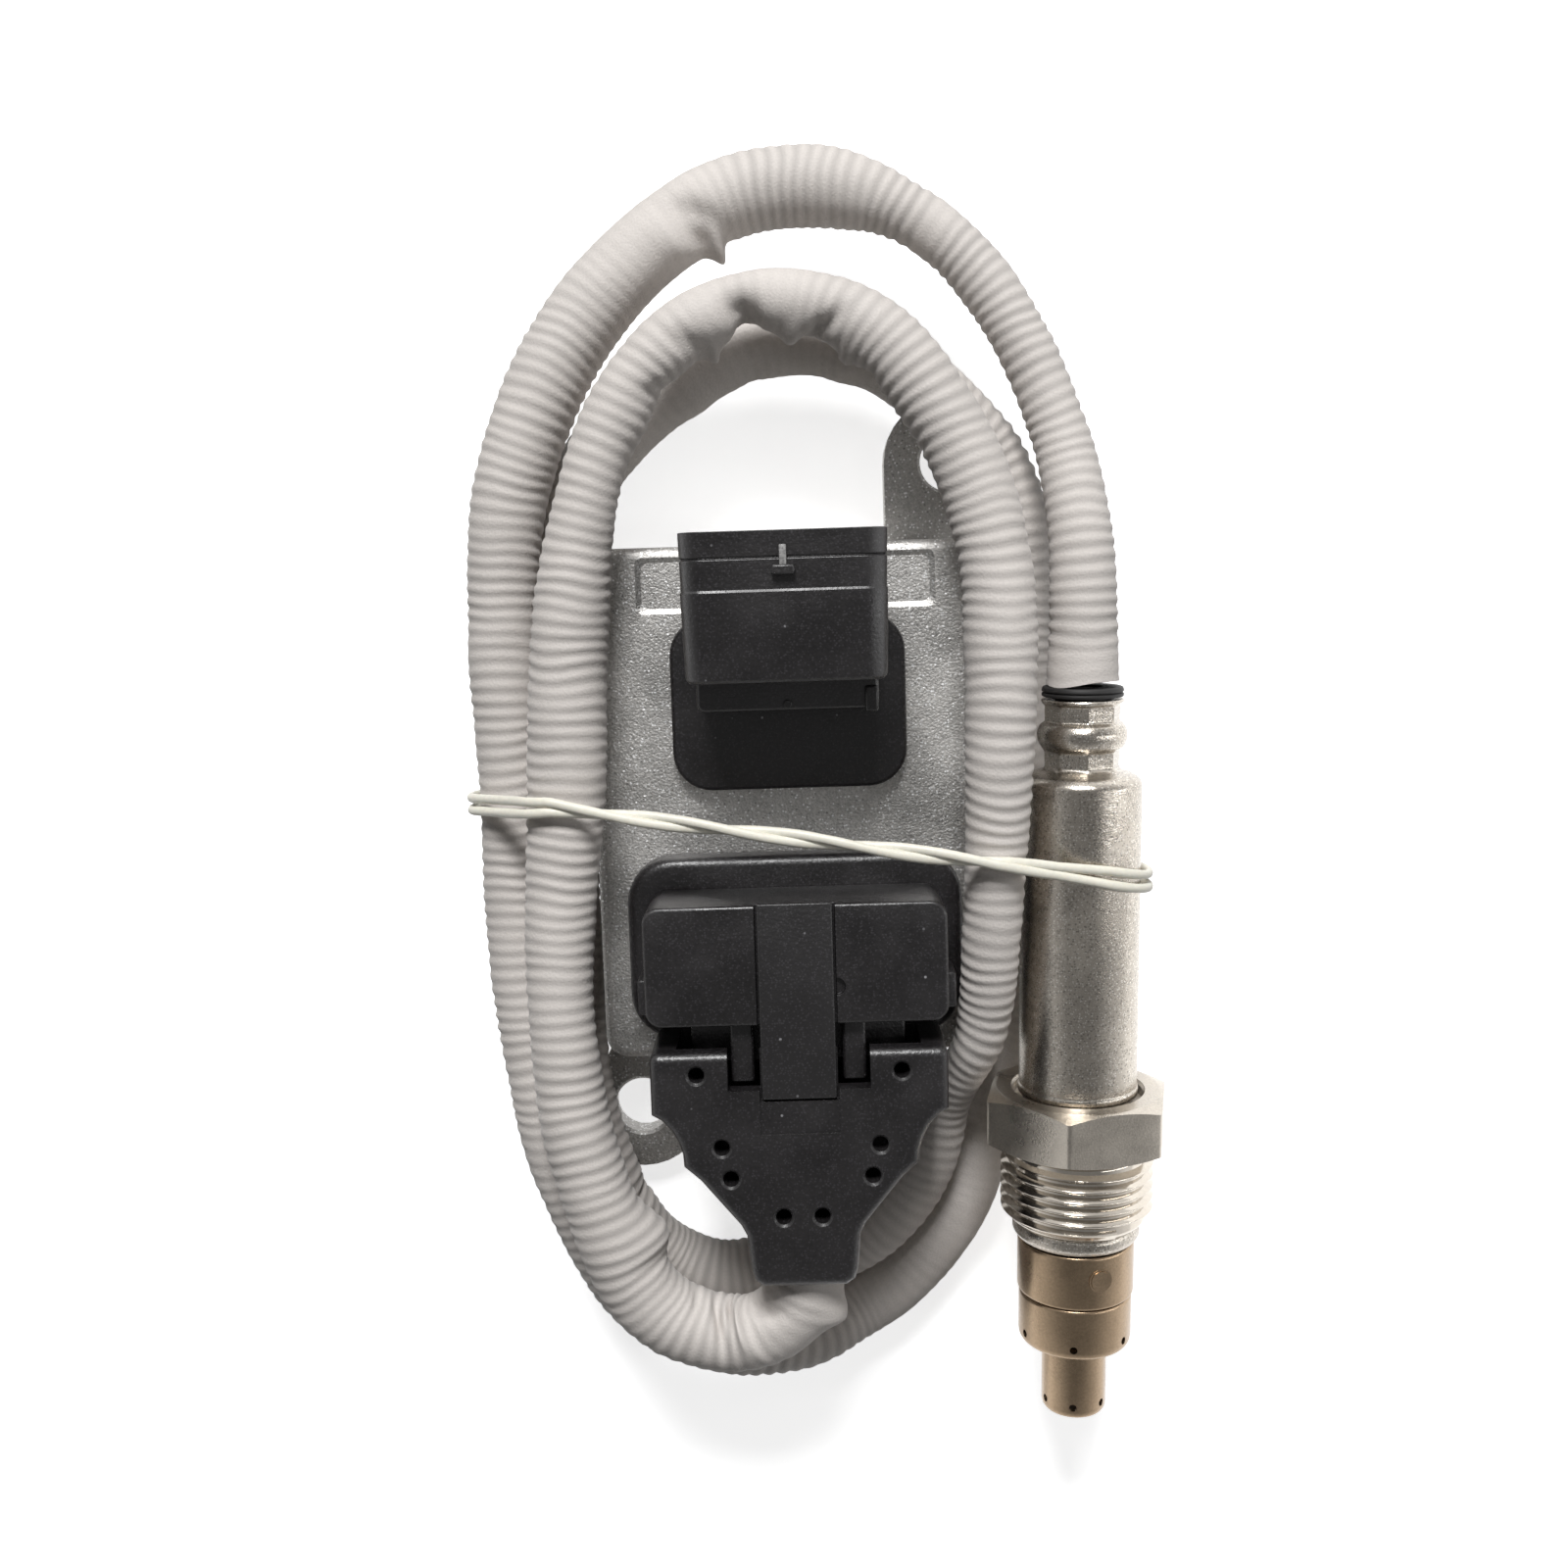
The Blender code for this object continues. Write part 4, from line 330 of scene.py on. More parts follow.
def carved(solid, *tools, operation="DIFFERENCE"):
    """Cut closed tools out of a solid, or keep what is common to both."""
    helpers = []
    for bm in (solid,) + tools:
        mesh = bpy.data.meshes.new("carving")
        face_outwards(bm)
        bm.to_mesh(mesh)
        bm.free()
        helper = bpy.data.objects.new("carving", mesh)
        bpy.context.scene.collection.objects.link(helper)
        helpers.append(helper)
    for tool in helpers[1:]:
        mod = helpers[0].modifiers.new("carve", "BOOLEAN")
        mod.operation = operation
        mod.solver = "EXACT"
        mod.object = tool
    bpy.context.view_layer.update()
    built = helpers[0].evaluated_get(bpy.context.evaluated_depsgraph_get())
    bm = bmesh.new()
    bm.from_mesh(built.to_mesh())
    built.to_mesh_clear()
    for helper in helpers:
        mesh = helper.data
        bpy.data.objects.remove(helper, do_unlink=True)
        bpy.data.meshes.remove(mesh)
    return bm


def add_piece(name, bm, material, nodes, smooth=35.0, place=None, soft_edge=0.0, body=RIGID):
    """Turn a mesh into a finished piece that rides on a body and stands for its nodes."""
    if place:
        bmesh.ops.transform(bm, matrix=place, verts=bm.verts)
    bmesh.ops.translate(bm, vec=-ORIGIN, verts=bm.verts)
    mesh = bpy.data.meshes.new(name)
    bm.to_mesh(mesh)
    bm.free()
    mesh.materials.append(material)
    mesh.shade_smooth()
    mesh.set_sharp_from_angle(angle=math.radians(smooth))
    piece = bpy.data.objects.new(name, mesh)
    bpy.context.scene.collection.objects.link(piece)
    if soft_edge:
        mod = piece.modifiers.new("worn_edges", "BEVEL")
        mod.width = soft_edge
        mod.segments = 2
        mod.limit_method = "ANGLE"
        mod.angle_limit = math.radians(40)
        mod.use_clamp_overlap = True
        mod.harden_normals = True
    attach(piece, body)
    if nodes:
        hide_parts(*nodes)
    return piece


# Materials

def add_node(tree, kind, settings=None, links=None):
    """Add one shader node with its settings and its incoming links."""
    node = tree.nodes.new(kind)
    for key, value in (settings or {}).items():
        if isinstance(key, int) or key in node.inputs:
            node.inputs[key].default_value = value
        else:
            setattr(node, key, value)
    for socket, source in (links or {}).items():
        tree.links.new(source, node.inputs[socket])
    return node


def start_material(name, colour, roughness, metallic=0.0, ior=None):
    """A Principled material with its plain values; gives its tree, shader and object coordinates."""
    material = bpy.data.materials.new(name)
    material.use_nodes = True
    tree = material.node_tree
    shader = tree.nodes["Principled BSDF"]
    shader.inputs["Base Color"].default_value = colour
    shader.inputs["Roughness"].default_value = roughness
    shader.inputs["Metallic"].default_value = metallic
    if ior:
        shader.inputs["IOR"].default_value = ior
    place = add_node(tree, "ShaderNodeTexCoord").outputs["Object"]
    return material, tree, shader, place


def scaled(colour, factor):
    """A colour made lighter or darker."""
    return rgba([min(1.0, c * factor) for c in list(colour)[:3]])


def add_grain(tree, shader, place, colour, spread, grain, height, cloud, gloss, detail=2.0):
    """Mottle a colour, vary its gloss and raise a fine grain; grain, height and cloud in millimetres."""
    grit = add_node(tree, "ShaderNodeTexNoise", {"Scale": 1 / (grain * MM), "Detail": detail},
                    {"Vector": place})
    patches = add_node(tree, "ShaderNodeTexNoise", {"Scale": 1 / (cloud * MM), "Detail": 3.0},
                       {"Vector": place})
    blend = add_node(tree, "ShaderNodeMix", {"data_type": "FLOAT", 0: 0.45},
                     {2: grit.outputs["Fac"], 3: patches.outputs["Fac"]})
    tone = add_node(tree, "ShaderNodeMapRange", {"From Min": 0.36, "From Max": 0.64},
                    {"Value": blend.outputs[0]})
    base = add_node(tree, "ShaderNodeMix",
                    {"data_type": "RGBA", 6: scaled(colour, 1 - spread), 7: scaled(colour, 1 + spread)},
                    {0: tone.outputs["Result"]})
    tree.links.new(base.outputs[2], shader.inputs["Base Color"])
    shine = add_node(tree, "ShaderNodeMapRange",
                     {"From Min": 0.3, "From Max": 0.7, "To Min": gloss[0], "To Max": gloss[1]},
                     {"Value": patches.outputs["Fac"]})
    tree.links.new(shine.outputs["Result"], shader.inputs["Roughness"])
    bump = add_node(tree, "ShaderNodeBump", {"Strength": 1.0, "Distance": height * MM},
                    {"Height": grit.outputs["Fac"]})
    tree.links.new(bump.outputs["Normal"], shader.inputs["Normal"])


def add_flecks(tree, shader, place, code, spacing, share, size, strength=1.0):
    """Scatter flecks of another colour: spacing in millimetres, share of cells with one, size in a cell."""
    cells = add_node(tree, "ShaderNodeTexVoronoi", {"Scale": 1 / (spacing * MM)}, {"Vector": place})
    near = add_node(tree, "ShaderNodeMapRange",
                    {"From Min": size, "From Max": 0.5 * size, "To Max": strength},
                    {"Value": cells.outputs["Distance"]})
    rare = add_node(tree, "ShaderNodeMapRange", {"From Min": 1 - share, "From Max": 1.05 - share},
                    {"Value": cells.outputs["Color"]})
    dots = add_node(tree, "ShaderNodeMath", {"operation": "MULTIPLY"},
                    {0: near.outputs["Result"], 1: rare.outputs["Result"]})
    base = shader.inputs["Base Color"].links[0].from_socket
    flecked = add_node(tree, "ShaderNodeMix", {"data_type": "RGBA", 7: linear(code)},
                       {0: dots.outputs[0], 6: base})
    tree.links.new(flecked.outputs[2], shader.inputs["Base Color"])


def grained(name, colour, roughness, metallic, ior, grain, *flecks):
    """A material with its grain and its flecks, as add_grain and add_flecks take them."""
    material, tree, shader, place = start_material(name, colour, roughness, metallic, ior)
    add_grain(tree, shader, place, colour, *grain)
    for fleck in flecks:
        add_flecks(tree, shader, place, *fleck)
    return material


def blasted_cast_aluminium(colour):
    """Die-cast aluminium, shot blasted: a dull grey with a fine sparkle from grit about 0.3 mm across."""
    return grained("blasted_cast_aluminium", colour, 0.5, 1.0, None, (0.24, 0.3, 0.1, 9, (0.46, 0.6), 3.0),
                   ("#FFFFFF", 0.42, 0.45, 0.42, 0.9), ("#7C7A78", 0.5, 0.3, 0.4, 0.6))


def glass_filled_plastic(colour, name="glass_filled_plastic", gloss=(0.3, 0.46), spread=0.4):
    """Moulded polybutylene with glass fibre: near black, satin, with fine pale fibre ends."""
    return grained(name, colour, 0.5, 0.0, 1.55, (spread, 0.4, 0.05, 7, gloss),
                   ("#9A999C", 1.2, 0.12, 0.17), ("#3C3A3D", 0.3, 0.5, 0.5, 0.6))


def satin_stainless(colour):
    """Stainless tube, bead blasted: satin, with a grain near 0.15 mm, drawn at 0.2 mm to show."""
    return grained("satin_stainless", colour, 0.35, 1.0, None, (0.16, 0.2, 0.03, 6, (0.22, 0.3), 3.0),
                   ("#FFFCF6", 0.28, 0.45, 0.5, 0.45), ("#57534E", 0.32, 0.45, 0.5, 0.55))


def turned_stainless(colour):
    """Stainless bar, turned and tumbled: bright, with a fine grain."""
    return grained("turned_stainless", colour, 0.25, 1.0, None, (0.14, 0.25, 0.03, 5, (0.24, 0.36)))


def polished_stainless(colour):
    """Rolled thread of stainless steel: bright and smooth."""
    return grained("polished_stainless", colour, 0.12, 1.0, None, (0.06, 0.4, 0.006, 5, (0.1, 0.18)))


def tinted_nickel(colour):
    """Nickel alloy shield, warmed in a burner: a smooth metal with a brown tint in soft clouds."""
    return grained("tinted_nickel", colour, 0.3, 1.0, None, (0.14, 0.3, 0.006, 5, (0.24, 0.34)))


def ribbed_silicone(colour):
    """Silicone-coated fibre sleeve: matt, soft, its grooves darkened by painted shade and a little dust; the
    grooves hold the attribute groove.
    """
    material, tree, shader, place = start_material("ribbed_silicone", colour, 0.72, 0.0, 1.42)
    add_grain(tree, shader, place, colour, 0.07, 0.3, 0.07, 11, (0.6, 0.78), 3.0)
    groove = add_node(tree, "ShaderNodeAttribute", {"attribute_name": "groove"})
    base = shader.inputs["Base Color"].links[0].from_socket
    # Painted shade, with a little dust: the grooves are darkened towards 70 % of the sleeve's colour.
    groove_dust_and_shade = add_node(tree, "ShaderNodeMix", {"data_type": "RGBA", 7: scaled(colour, 0.7)},
                     {0: groove.outputs["Fac"], 6: base})
    tree.links.new(groove_dust_and_shade.outputs[2], shader.inputs["Base Color"])
    shader.inputs["Sheen Weight"].default_value = 0.12
    shader.inputs["Sheen Roughness"].default_value = 0.5
    return material


def elastic_rubber(colour):
    """Thin natural rubber band: ivory, a little waxy."""
    material, tree, shader, place = start_material("elastic_rubber", colour, 0.45, 0.0, 1.5)
    add_grain(tree, shader, place, colour, 0.05, 0.5, 0.02, 6, (0.38, 0.52))
    shader.inputs["Subsurface Weight"].default_value = 0.15
    shader.inputs["Subsurface Radius"].default_value = (0.001, 0.0008, 0.0006)
    return material


def plain_finish(name, code, gloss, metallic=0.0, spread=0.06, ior=None):
    """A simple finish for what sits inside: mottled a little, with a fine grain."""
    return grained(name, linear(code), gloss, metallic, ior,
                   (spread, 0.3, 0.008, 6, (gloss - 0.05, gloss + 0.08)))


def dress(material, *nodes):
    """Give CAD nodes that stay a finished material."""
    for node in nodes:
        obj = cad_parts[node]
        obj.data.materials.clear()
        obj.data.materials.append(material)


# Control unit

class SENSOR_OT_housing(bpy.types.Operator):
    """Build the cast housing with its ears, feet, recess and openings"""
    bl_idname = "sensor.housing"
    bl_label = "Housing"

    def execute(self, context):
        s = context.scene.unit_settings_nox
        body = plate(s.width, s.length, s.back_z, s.face_z, s.corner, top=s.edge, low=0.25 * MM, steps=5)
        body = carved(body, *housing_tools(s))
        ears = [ear(s, 1), ear(s, -1)]
        feet = []
        for side in (1, -1):
            x0, x1 = sorted((-side * (s.width / 2 - 2.0 * MM), -side * (s.width / 2 - 0.1 * MM)))
            feet.append(block(x0, x1, side * 24 * MM - 4 * MM, side * 24 * MM + 4 * MM, 0.0,
                              s.back_z + 1 * MM, 0.25 * MM))
        add_piece("housing_casting", joined(body, *ears, *feet), blasted_cast_aluminium(rgba(s.cast)),
                  ["unit_housing"], 20)
        dress(plain_finish("rolled_aluminium_sheet", "#B4B4B8", 0.36, 1.0), "back_cover")
        return {"FINISHED"}


def housing_tools(s):
    """Solids that are cut from the housing: rebate, hollow, recess and the two connector openings."""
    rebate = plate(s.width - 4.4 * MM, s.length - 4.4 * MM, 0.0, s.back_z + 2.4 * MM, 2.0 * MM)
    hollow = plate(s.width - 8.0 * MM, s.length - 8.0 * MM, 0.5 * MM, s.face_z - 2.5 * MM, 2.0 * MM)
    low, high = 25.3 * MM, s.length / 2 - s.edge - 0.1 * MM
    deep, slope = 0.4 * MM, 1.4 * MM
    recess = plate(37.2 * MM, high - low - 1.0 * MM, s.face_z - deep, s.face_z + deep, 1.0 * MM,
                   middle=(0.0, (low + high) / 2))
    for v in recess.verts:
        if v.co.z > s.face_z:
            v.co.x += math.copysign(slope, v.co.x)
            v.co.y += math.copysign(slope, v.co.y - (low + high) / 2)
    harness = plate(27.6 * MM, 19.0 * MM, s.face_z - 4 * MM, s.face_z + MM, 2.0 * MM, middle=HARNESS_AT)
    header = plate(36.2 * MM, 16.8 * MM, s.face_z - 4 * MM, s.face_z + MM, 2.0 * MM, middle=HEADER_AT)
    return rebate, hollow, recess, harness, header


def ear(s, side):
    """One fixing ear, from its root in the housing's wall to its round end with the hole."""
    (x, y), r = EAR_AT, s.ear_radius
    root = s.length / 2 - 1.8 * MM
    side_x, end_y = s.width / 2 - 0.2 * MM, s.length / 2 + 0.2 * MM
    points = [(x - r, root), (side_x, root), (side_x, end_y), (x + r, y), (x + r, y + r), (x - r, y + r)]
    bm = outline_solid(points, 0.0, s.ear_thickness, [(4, r - 0.02 * MM), (5, r - 0.02 * MM)], 0.45 * MM,
                       0.2 * MM, 3)
    hole = rod((x, y, -MM), (x, y, s.ear_thickness + MM), s.hole_radius, 48)
    rim = rod((x, y, s.ear_thickness - 0.4 * MM), (x, y, s.ear_thickness + 0.4 * MM), s.hole_radius,
              48, s.hole_radius + 0.8 * MM)
    bm = carved(bm, hole, rim)
    if side < 0:
        bmesh.ops.rotate(bm, cent=(0, 0, 0), matrix=Matrix.Rotation(math.pi, 3, "Z"), verts=bm.verts)
    return bm


class SENSOR_OT_board(bpy.types.Operator):
    """Finish the circuit board, its parts, the seals and the contacts"""
    bl_idname = "sensor.board"
    bl_label = "Board and Contacts"

    def execute(self, context):
        dress(plain_finish("solder_mask_laminate", "#2E6B45", 0.35, ior=1.5), "circuit_board")
        dress(plain_finish("moulded_epoxy", "#26262A", 0.5), "processor_chip", "driver_chip")
        dress(plain_finish("drawn_can", "#B9B9BE", 0.3, 1.0), "board_capacitor_a", "board_capacitor_b")
        dress(plain_finish("zinc_plated_steel", "#B7B8BC", 0.3, 1.0), *["board_screw_" + k for k in "abcd"])
        dress(plain_finish("red_silicone", "#A8563C", 0.55, ior=1.42), "cover_gasket", "harness_flange_seal",
              "header_flange_seal", "plug_seal")
        rows = (("harness_blade_%d", 5), ("header_pin_%d", 8), ("plug_contact_%d", 8))
        contacts = [name % (k + 1) for name, count in rows for k in range(count)]
        dress(plain_finish("tinned_bronze", "#CFCAC0", 0.25, 1.0), *contacts, "contact_spring_a",
              "contact_spring_b")
        dress(plain_finish("fired_alumina", "#E9E6DF", 0.5), "sensing_element", "upper_bush", "lower_bush",
              "contact_holder")
        dress(plain_finish("pressed_talc", "#D9D4C8", 0.85), "talc_ring")
        dress(plain_finish("fluoropolymer_insulation", "#E4E4E2", 0.35), "lead_bundle")
        return {"FINISHED"}


# Connectors and plug

class SENSOR_OT_harness_connector(bpy.types.Operator):
    """Build the right-angle harness connector with its shroud, neck, flange and lock nub"""
    bl_idname = "sensor.harness_connector"
    bl_label = "Harness Connector"

    def execute(self, context):
        s = context.scene.plug_settings_nox
        u = context.scene.unit_settings_nox
        z0 = u.face_z + 0.3 * MM
        flange = plate(30.2 * MM, 22.4 * MM, z0, z0 + 2.2 * MM, 5.0 * MM, middle=HARNESS_AT,
                       top=0.7 * MM)
        skirt = plate(24.4 * MM, 15.8 * MM, u.face_z - 2.4 * MM, z0 + 0.5 * MM, 1.0 * MM,
                      middle=HARNESS_AT)
        neck = plate(22.2 * MM, 11.8 * MM, z0 + MM, 30.0 * MM, 1.0 * MM, middle=(0.0, 19.05 * MM),
                     top=0.6 * MM)
        parts = [flange, skirt, neck, shroud(s)]
        parts.append(block(9.4 * MM, 11.0 * MM, 12.8 * MM, 16.0 * MM, z0 + 1.2 * MM, 30.4 * MM, 0.3 * MM))
        parts.append(block(*mm(-1.35, 1.35, 29.55, 30.7, 37.0, 39.0), 0.25 * MM))
        stem = block(*mm(-0.42, 0.42, 30.5, 33.0, 37.5, 38.5), 0.15 * MM)
        parts.append(rod(mm(0.0, 14.0, 29.8), mm(0.0, 14.0, 30.25), 0.5 * MM, 20))
        black = glass_filled_plastic(rgba(s.plastic))
        add_piece("harness_connector_body", joined(*parts), black, ["harness_connector"],
                  20, soft_edge=0.1 * MM)
        # The stem is the same black plastic, coloured pale grey as a painted highlight.
        stem_highlight = glass_filled_plastic(linear("#8E8D8C"), "plastic_with_painted_highlight")
        add_piece("lock_nub_stem", stem, stem_highlight, [])
        return {"FINISHED"}


def shroud(s):
    """Shroud of the harness connector, with its step, its groove and the open socket."""
    half = s.shroud_width / 2
    y0, y1, z0, z1 = mm(17.0, 34.7, 23.0, 38.0)
    step, groove = mm(27.8, 31.56)
    bm = block(-half, half, y0, y1, z0, z1)
    round_edges(bm, lambda a, b: abs(a.y - b.y) > 5 * MM, 2.6 * MM, 7)
    round_edges(bm, lambda a, b: max(a.y, b.y) < y0 + SAME_HEIGHT, 0.9 * MM, 3)
    for y in (27.62, 27.9, 31.38, 31.56, 31.74):
        everything = list(bm.verts) + list(bm.edges) + list(bm.faces)
        bmesh.ops.bisect_plane(bm, geom=everything, plane_co=(0, y * MM, 0), plane_no=(0, 1, 0))
    middle = Vector((0.0, 0.0, (z0 + z1) / 2))
    for v in bm.verts:
        shrink = 0.0
        if v.co.y > step:
            shrink = 0.12 * MM
        if abs(v.co.y - groove) < 0.02 * MM:
            shrink = 0.34 * MM
        if shrink:
            reach = v.co.x - middle.x, v.co.z - middle.z
            v.co.x -= shrink * math.copysign(min(1.0, abs(reach[0]) / (3 * MM)), reach[0])
            v.co.z -= shrink * math.copysign(min(1.0, abs(reach[1]) / (3 * MM)), reach[1])
    wall = s.shroud_wall
    hollow = block(-half + wall, half - wall, y1 - s.socket_depth, y1 + MM, z0 + wall, z1 - wall)
    round_edges(hollow, lambda a, b: abs(a.y - b.y) > 5 * MM, 1.6 * MM, 5)
    for v in list(bm.verts) + list(hollow.verts):
        v.co.x *= 1.01 + 0.04 * (v.co.y - y0) / (y1 - y0)
    return carved(bm, hollow)


class SENSOR_OT_sensor_plug(bpy.types.Operator):
    """Build the sensor header, the plug on it and its sprung latch strip"""
    bl_idname = "sensor.sensor_plug"
    bl_label = "Header, Plug and Latch"

    def execute(self, context):
        s = context.scene.plug_settings_nox
        u = context.scene.unit_settings_nox
        black = glass_filled_plastic(rgba(s.plastic), "glass_filled_plastic_plug")
        z0 = u.face_z + 0.3 * MM
        flange = plate(43.4 * MM, 24.0 * MM, z0, 20.5 * MM, 6.0 * MM, middle=HEADER_AT, top=1.3 * MM)
        skirt = plate(33.0 * MM, 13.6 * MM, u.face_z - 2.4 * MM, z0 + 0.5 * MM, 1.0 * MM,
                      middle=HEADER_AT)
        tower = plate(s.plug_width - 4.4 * MM, s.plug_height - 4.4 * MM, z0 + MM, 30.2 * MM, 0.9 * MM,
                      middle=PLUG_AT)
        inside = plate(s.plug_width - 6.4 * MM, s.plug_height - 6.4 * MM, 21.5 * MM, 32.0 * MM, 0.4 * MM,
                       middle=PLUG_AT)
        add_piece("header_flange", joined(flange, skirt, carved(tower, inside)), black, ["sensor_header"])
        add_piece("plug_shell", plug_shell(s), black, ["plug_housing"],
                  soft_edge=0.08 * MM)
        half = s.strip_width / 2
        strip = block(-half, half, -34.4 * MM, -9.95 * MM, 32.3 * MM, 33.5 * MM, 0.22 * MM, 3)
        smooth = glass_filled_plastic(scaled(s.plastic, 0.85), "smooth_latch_plastic", (0.4, 0.5), 0.06)
        add_piece("latch_tongue", strip, smooth, ["latch_strip"])
        return {"FINISHED"}


def plug_shell(s):
    """Plug body with its channel, side wings, rear arms and the hollow for the tower."""
    low = 20.8 * MM
    back = PLUG_AT[1] - s.plug_height / 2
    shell = plate(s.plug_width, s.plug_height, low, 33.0 * MM, 2.1 * MM, middle=PLUG_AT, top=0.45 * MM,
                  steps=3)
    half = s.strip_width / 2 + 0.32 * MM
    channel = block(-half, half, back - MM, -back, 32.0 * MM, 35 * MM)
    hollow = plate(s.plug_width - 3.4 * MM, s.plug_height - 3.4 * MM, low - MM, 30.6 * MM, 1.4 * MM,
                   middle=PLUG_AT)
    notch = rod((half, -20.5 * MM, 32.2 * MM), (half, -20.5 * MM, 35 * MM), 1.1 * MM, 24)
    shell = carved(shell, channel, hollow, notch)
    core = plate(28.4 * MM, 6.0 * MM, 22.2 * MM, 31.0 * MM, 1.0 * MM, middle=PLUG_AT)
    bores = []
    for k in range(4):
        for y in (-19.3, -16.1):
            x = (k - 1.5) * 7.3 * MM
            bores.append(rod((x, y * MM, 21 * MM), (x, y * MM, 30.3 * MM), 1.15 * MM, 16))
    parts = [shell, carved(core, joined(*bores))]
    for side in (1, -1):
        x0, x1 = sorted((side * (s.plug_width / 2 - MM), side * 20.0 * MM))
        parts.append(block(x0, x1, back + 0.4 * MM, -20.3 * MM, low + 0.2 * MM, 28.0 * MM, 0.3 * MM))
        x0, x1 = sorted((side * 5.5 * MM, side * 8.4 * MM))
        parts.append(block(x0, x1, -32.8 * MM, back + MM, 28.8 * MM, 31.2 * MM, 0.4 * MM, 3))
    parts.append(block(-13.5 * MM, 13.5 * MM, back - 6.0 * MM, back + MM, 22.4 * MM, 27.5 * MM, 0.4 * MM))
    return joined(*parts)


class SENSOR_OT_strain_cover(bpy.types.Operator):
    """Build the funnel-shaped strain relief cover"""
    bl_idname = "sensor.strain_cover"
    bl_label = "Strain Relief Cover"

    def execute(self, context):
        s = context.scene.plug_settings_nox
        half = [(18.4, -28.3), (18.4, -36.2), (17.2, -36.9), (16.0, -38.2), (15.2, -39.7), (14.7, -41.3),
                (14.6, -42.9), (12.6, -44.7), (7.8, -50.6), (7.1, -52.0), (6.7, -56.4), (6.3, -57.8),
                (5.2, -58.6)]
        right = millimetres(half)
        points = right + [(-x, y) for x, y in reversed(right)]
        top, wall = 33.6 * MM, 1.8 * MM
        bm = outline_solid(points, 20.8 * MM, top, [(0, 1.2 * MM), (len(points) - 1, 1.2 * MM)],
                           s.cover_edge, 0.4 * MM, 5)
        inner = []
        for x, y in points:
            shift = wall if y < -58 * MM else -wall if y > -29 * MM else 0.0
            inner.append((x - math.copysign(wall, x), y + shift))
        tools = [outline_solid(inner, 22.1 * MM, 31.2 * MM)]
        tools.append(block(*mm(-15.2, 15.2, -31.5, -26.8, 22.2, 31.25)))
        wide = s.strip_width / 2 + 0.32 * MM
        tools.append(block(-wide, wide, -34.7 * MM, -27 * MM, 32.0 * MM, 35 * MM))
        tools.append(block(-wide, wide, -38.8 * MM, -34.6 * MM, 33.35 * MM, 35 * MM))
        tools.append(rod(mm(0, -60, 26.5), mm(0, -54, 26.5), 3.4 * MM, 32))
        bm = carved(bm, *tools)
        slots = [block(*mm(x0, x1, -33.2, -27, 29.6, 35)) for x0, x1 in ((4.8, 8.8), (-8.8, -4.8))]
        holes, rims = [], []
        for x, y in ((12.65, -31.1), (9.8, -40.4), (8.8, -44.4), (2.4, -49.45)):
            for sign in (1, -1):
                at = sign * x * MM, y * MM
                holes.append(rod((*at, 29.6 * MM), (*at, 35 * MM), s.hole_radius, 24))
                rims.append(rod((*at, top - 0.3 * MM), (*at, top + 0.3 * MM), s.hole_radius, 24,
                                s.hole_radius + 0.6 * MM))
        bm = carved(bm, joined(*slots), joined(*holes), joined(*rims))
        black = glass_filled_plastic(rgba(s.plastic), "glass_filled_plastic_cover")
        add_piece("cable_cover", bm, black, ["strain_relief_cover"], soft_edge=0.1 * MM)
        return {"FINISHED"}


# Probe

def probe_place():
    """Where the probe lies: its local z runs along its axis to the tip."""
    tilt = math.radians(PROBE_TILT)
    axis = Vector((-0.0164, -math.cos(tilt), -math.sin(tilt))).normalized()
    side = axis.cross(Vector((0, 0, 1))).normalized()
    turn = Matrix((side, side.cross(axis), axis)).transposed().to_4x4()
    return Matrix.Translation(Vector(PROBE_AT) * MM) @ turn


class SENSOR_OT_upper_shell(bpy.types.Operator):
    """Build the grommet and the crimped upper shell of the probe"""
    bl_idname = "sensor.upper_shell"
    bl_label = "Grommet and Upper Shell"

    def execute(self, context):
        s = context.scene.probe_settings_nox
        grommet = turned(millimetres([(2.4, 0.0, 0), (5.0, 0.0, 0.2), (5.15, 0.55, 0.15), (4.85, 0.7, 0.1),
                                      (5.12, 0.85, 0.1), (5.1, 1.25, 0.2), (3.5, 1.25, 0), (3.5, 9.6, 0),
                                      (2.4, 9.6, 0)]))
        rubber = plain_finish("black_nitrile", "#1B1A1A", 0.6, spread=0.1, ior=1.5)
        add_piece("neck_grommet", grommet, rubber, ["probe_grommet"], place=probe_place())
        r = s.shell_radius / MM
        outer = [(5.05, 1.55, 0.1), (5.2, 1.75, 0.15), (5.05, 2.05, 0.15), (4.62, 2.35, 0.2),
                 (4.62, 3.3, 0.1), (4.55, 4.3, 0.25), (5.25, 4.75, 0.3), (5.65, 5.6, 0.4),
                 (5.65, 6.6, 0.4), (5.25, 7.5, 0.3), (4.6, 8.15, 0.25), (4.6, 9.1, 0.1),
                 (4.55, 10.15, 0.3), (5.0, 10.6, 0.3), (6.7, 11.1, 0.5),
                 (r, 11.9, 0.7), (r, 51.6, 0.1), (r + 0.02, 51.7, 0.1), (r + 0.16, 52.0, 0.2),
                 (r + 0.16, 52.8, 0.25), (r - 0.15, 53.15, 0.1)]
        inner = [(r - 0.6, 53.15, 0), (r - 0.6, 13.0, 0), (6.2, 12.0, 0), (3.9, 11.2, 0), (3.9, 1.55, 0)]
        bm = turned(millimetres(outer + inner), 96)
        press_flats(bm, 1.9 * MM, 4.75 * MM, 8)
        press_flats(bm, 7.6 * MM, 10.6 * MM, 8)
        steel = satin_stainless(rgba(s.steel))
        add_piece("crimped_shell", bm, steel, ["upper_shell"], 42, probe_place())
        return {"FINISHED"}


